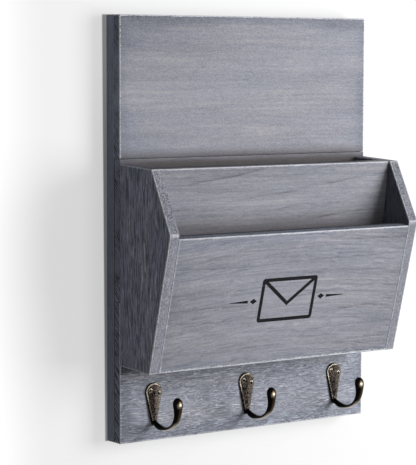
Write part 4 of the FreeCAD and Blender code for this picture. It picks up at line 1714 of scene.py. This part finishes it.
    def close(self, mesh: bpy.types.Mesh) -> None:
        """Merges the slab's seams and turns its faces outwards.

        Args:
            mesh: the slab.
        """
        shape = bmesh.new()
        shape.from_mesh(mesh)
        bmesh.ops.remove_doubles(shape, verts=shape.verts, dist=1e-7)
        bmesh.ops.recalc_face_normals(shape, faces=shape.faces)
        shape.to_mesh(mesh)
        shape.free()

    def dress(self) -> None:
        """Builds the mark and paints it."""
        piece = self.build()
        piece.data.materials.clear()
        piece.data.materials.append(StencilPaint().material("mark"))
        take_over(piece, "mark_paint")


@dataclass
class HookRow:
    """The three cast hooks."""

    hooks: tuple[str, ...] = ("left_hook", "middle_hook", "right_hook")

    def dress(self) -> None:
        """Finishes the hooks."""
        for number, node in enumerate(self.hooks):
            dress(node, AntiqueBrass(seed=number).hook(node))


@dataclass
class Studio:
    """Wall, floor, lamps and camera.

    Attributes:
        wall_gap: how far the wall's face stands behind the object's back.
        floor_drop: height of the floor below the origin.
        spread: width of wall and floor.
        target: point near the pocket's middle that the lamps face.
        key_turn: how far to the right of straight ahead the main lamp hangs.
        key_rise: its height above the target, as an angle.
        key_reach: its distance.
        key_size: length of its side.
        key_power: its watts.
        rear_place: where the lamp for the back hangs, behind the wall.
        rear_size: length of its side.
        rear_power: its watts.
        world_light: strength of the even light from all around.
        camera_place: where the camera stands.
        camera_turn: how far it looks to the right of straight ahead.
        camera_dip: how far it looks down.
        camera_roll: how far it is turned about its own line of sight.
        lens: its focal length, millimetres.
        sensor: width of its sensor, millimetres.
    """

    wall_gap: float = 0.3 * MM
    floor_drop: float = 1.1
    spread: float = 12.0
    target: Vector = field(default_factory=lambda: Vector((0.0, -0.05, -0.18)))
    key_turn: float = math.radians(43)
    key_rise: float = math.radians(6)
    key_reach: float = 1.25
    key_size: float = 0.8
    key_power: float = 17.8
    rear_place: Vector = field(default_factory=lambda: Vector((1.0, 2.2, 0.6)))
    rear_size: float = 1.6
    rear_power: float = 40.0
    world_light: float = 0.265
    camera_place: Vector = field(default_factory=lambda: Vector((-1.1881, -1.6474, 0.0035)))
    camera_turn: float = math.radians(35.084)
    camera_dip: float = math.radians(4.959)
    camera_roll: float = math.radians(0.12)
    lens: float = 154.03
    sensor: float = 36.0

    def sheet(self, name: str, corners: list[Vector], look: StageLook) -> None:
        """Adds one flat surface of the stage.

        Args:
            name: name of the surface.
            corners: its corners.
            look: its finish.
        """
        mesh = bpy.data.meshes.new(name)
        mesh.from_pydata(corners, [], [range(len(corners))])
        mesh.materials.append(look.material(name))
        made = bpy.data.objects.new(name, mesh)
        bpy.context.scene.collection.objects.link(made)

    def build_stage(self) -> None:
        """Puts up the wall and lays the floor."""
        half = self.spread / 2
        ring = ((-half, -half), (half, -half), (half, half), (-half, half))
        wall_look = StageLook(glow=0.61, shown=0.38, lit=0.28, far_glow=0.21, near_dim=0.075, gap_dim=0.46)
        self.sheet("stage_wall", [Vector((x, self.wall_gap, z)) for x, z in ring], wall_look)
        floor_look = StageLook(glow=0.5, shown=0.5, lit=0.3)
        self.sheet("stage_floor", [Vector((x, y, -self.floor_drop)) for x, y in ring], floor_look)

    def lamp(self, name: str, place: Vector, target: Vector, size: float, power: float) -> None:
        """Hangs one square soft lamp.

        Args:
            name: the lamp's name.
            place: its centre.
            target: the point that it faces.
            size: length of its side.
            power: watts.
        """
        data = bpy.data.lights.new(name, "AREA")
        data.size = size
        data.energy = power
        made = bpy.data.objects.new(name, data)
        made.location = place
        made.rotation_euler = (place - target).to_track_quat("Z", "Y").to_euler()
        bpy.context.scene.collection.objects.link(made)

    def light(self) -> None:
        """Sets the lamps and the world's even light, which the camera sees as white."""
        level = math.cos(self.key_rise) * self.key_reach
        towards = Vector((
            math.sin(self.key_turn) * level,
            -math.cos(self.key_turn) * level,
            math.sin(self.key_rise) * self.key_reach,
        ))
        self.lamp("key", self.target + towards, self.target, self.key_size, self.key_power)
        self.lamp("rear", self.rear_place, self.target, self.rear_size, self.rear_power)
        world = bpy.data.worlds.new("studio")
        bpy.context.scene.world = world
        world.use_nodes = True
        world.node_tree.nodes.clear()
        bench = Bench(world.node_tree)
        camera, glossy, through = bench.rays("Is Camera Ray", "Is Glossy Ray", "Is Transmission Ray")
        seen = camera.math("MAXIMUM", glossy).math("MAXIMUM", through)
        plain, white = (
            bench.node("ShaderNodeBackground", sockets={"Color": (1, 1, 1, 1), "Strength": strength})
            for strength in (self.world_light, 1.0)
        )
        shader = bench.node("ShaderNodeMixShader", sockets={0: seen, 1: plain, 2: white})
        bench.node("ShaderNodeOutputWorld", sockets={"Surface": shader})

    def build_camera(self) -> None:
        """Puts the camera where the photograph was taken from."""
        data = bpy.data.cameras.new("camera")
        data.lens = self.lens
        data.sensor_width = self.sensor
        data.sensor_fit = "AUTO"
        made = bpy.data.objects.new("camera", data)
        level = Matrix.Rotation(math.pi / 2 - self.camera_dip, 4, "X")
        turned = Matrix.Rotation(-self.camera_turn, 4, "Z") @ level
        made.matrix_world = (
            Matrix.Translation(self.camera_place) @ turned @ Matrix.Rotation(self.camera_roll, 4, "Z")
        )
        bpy.context.scene.collection.objects.link(made)
        bpy.context.scene.camera = made

    def build(self) -> None:
        """Sets up everything around the object."""
        self.build_stage()
        self.light()
        self.build_camera()
        bpy.context.scene.view_settings.view_transform = "Standard"
        LOG.info("stage, lamps and camera are up")


def main() -> None:
    """Builds and dresses every sub-assembly, then the studio."""
    logging.basicConfig(level=logging.INFO, format="%(name)s: %(message)s")
    for group in (Backing(), Pocket(), HookRow(), Fasteners(), Mark()):
        group.dress()
    Studio().build()


if __name__ == "__main__":
    main()
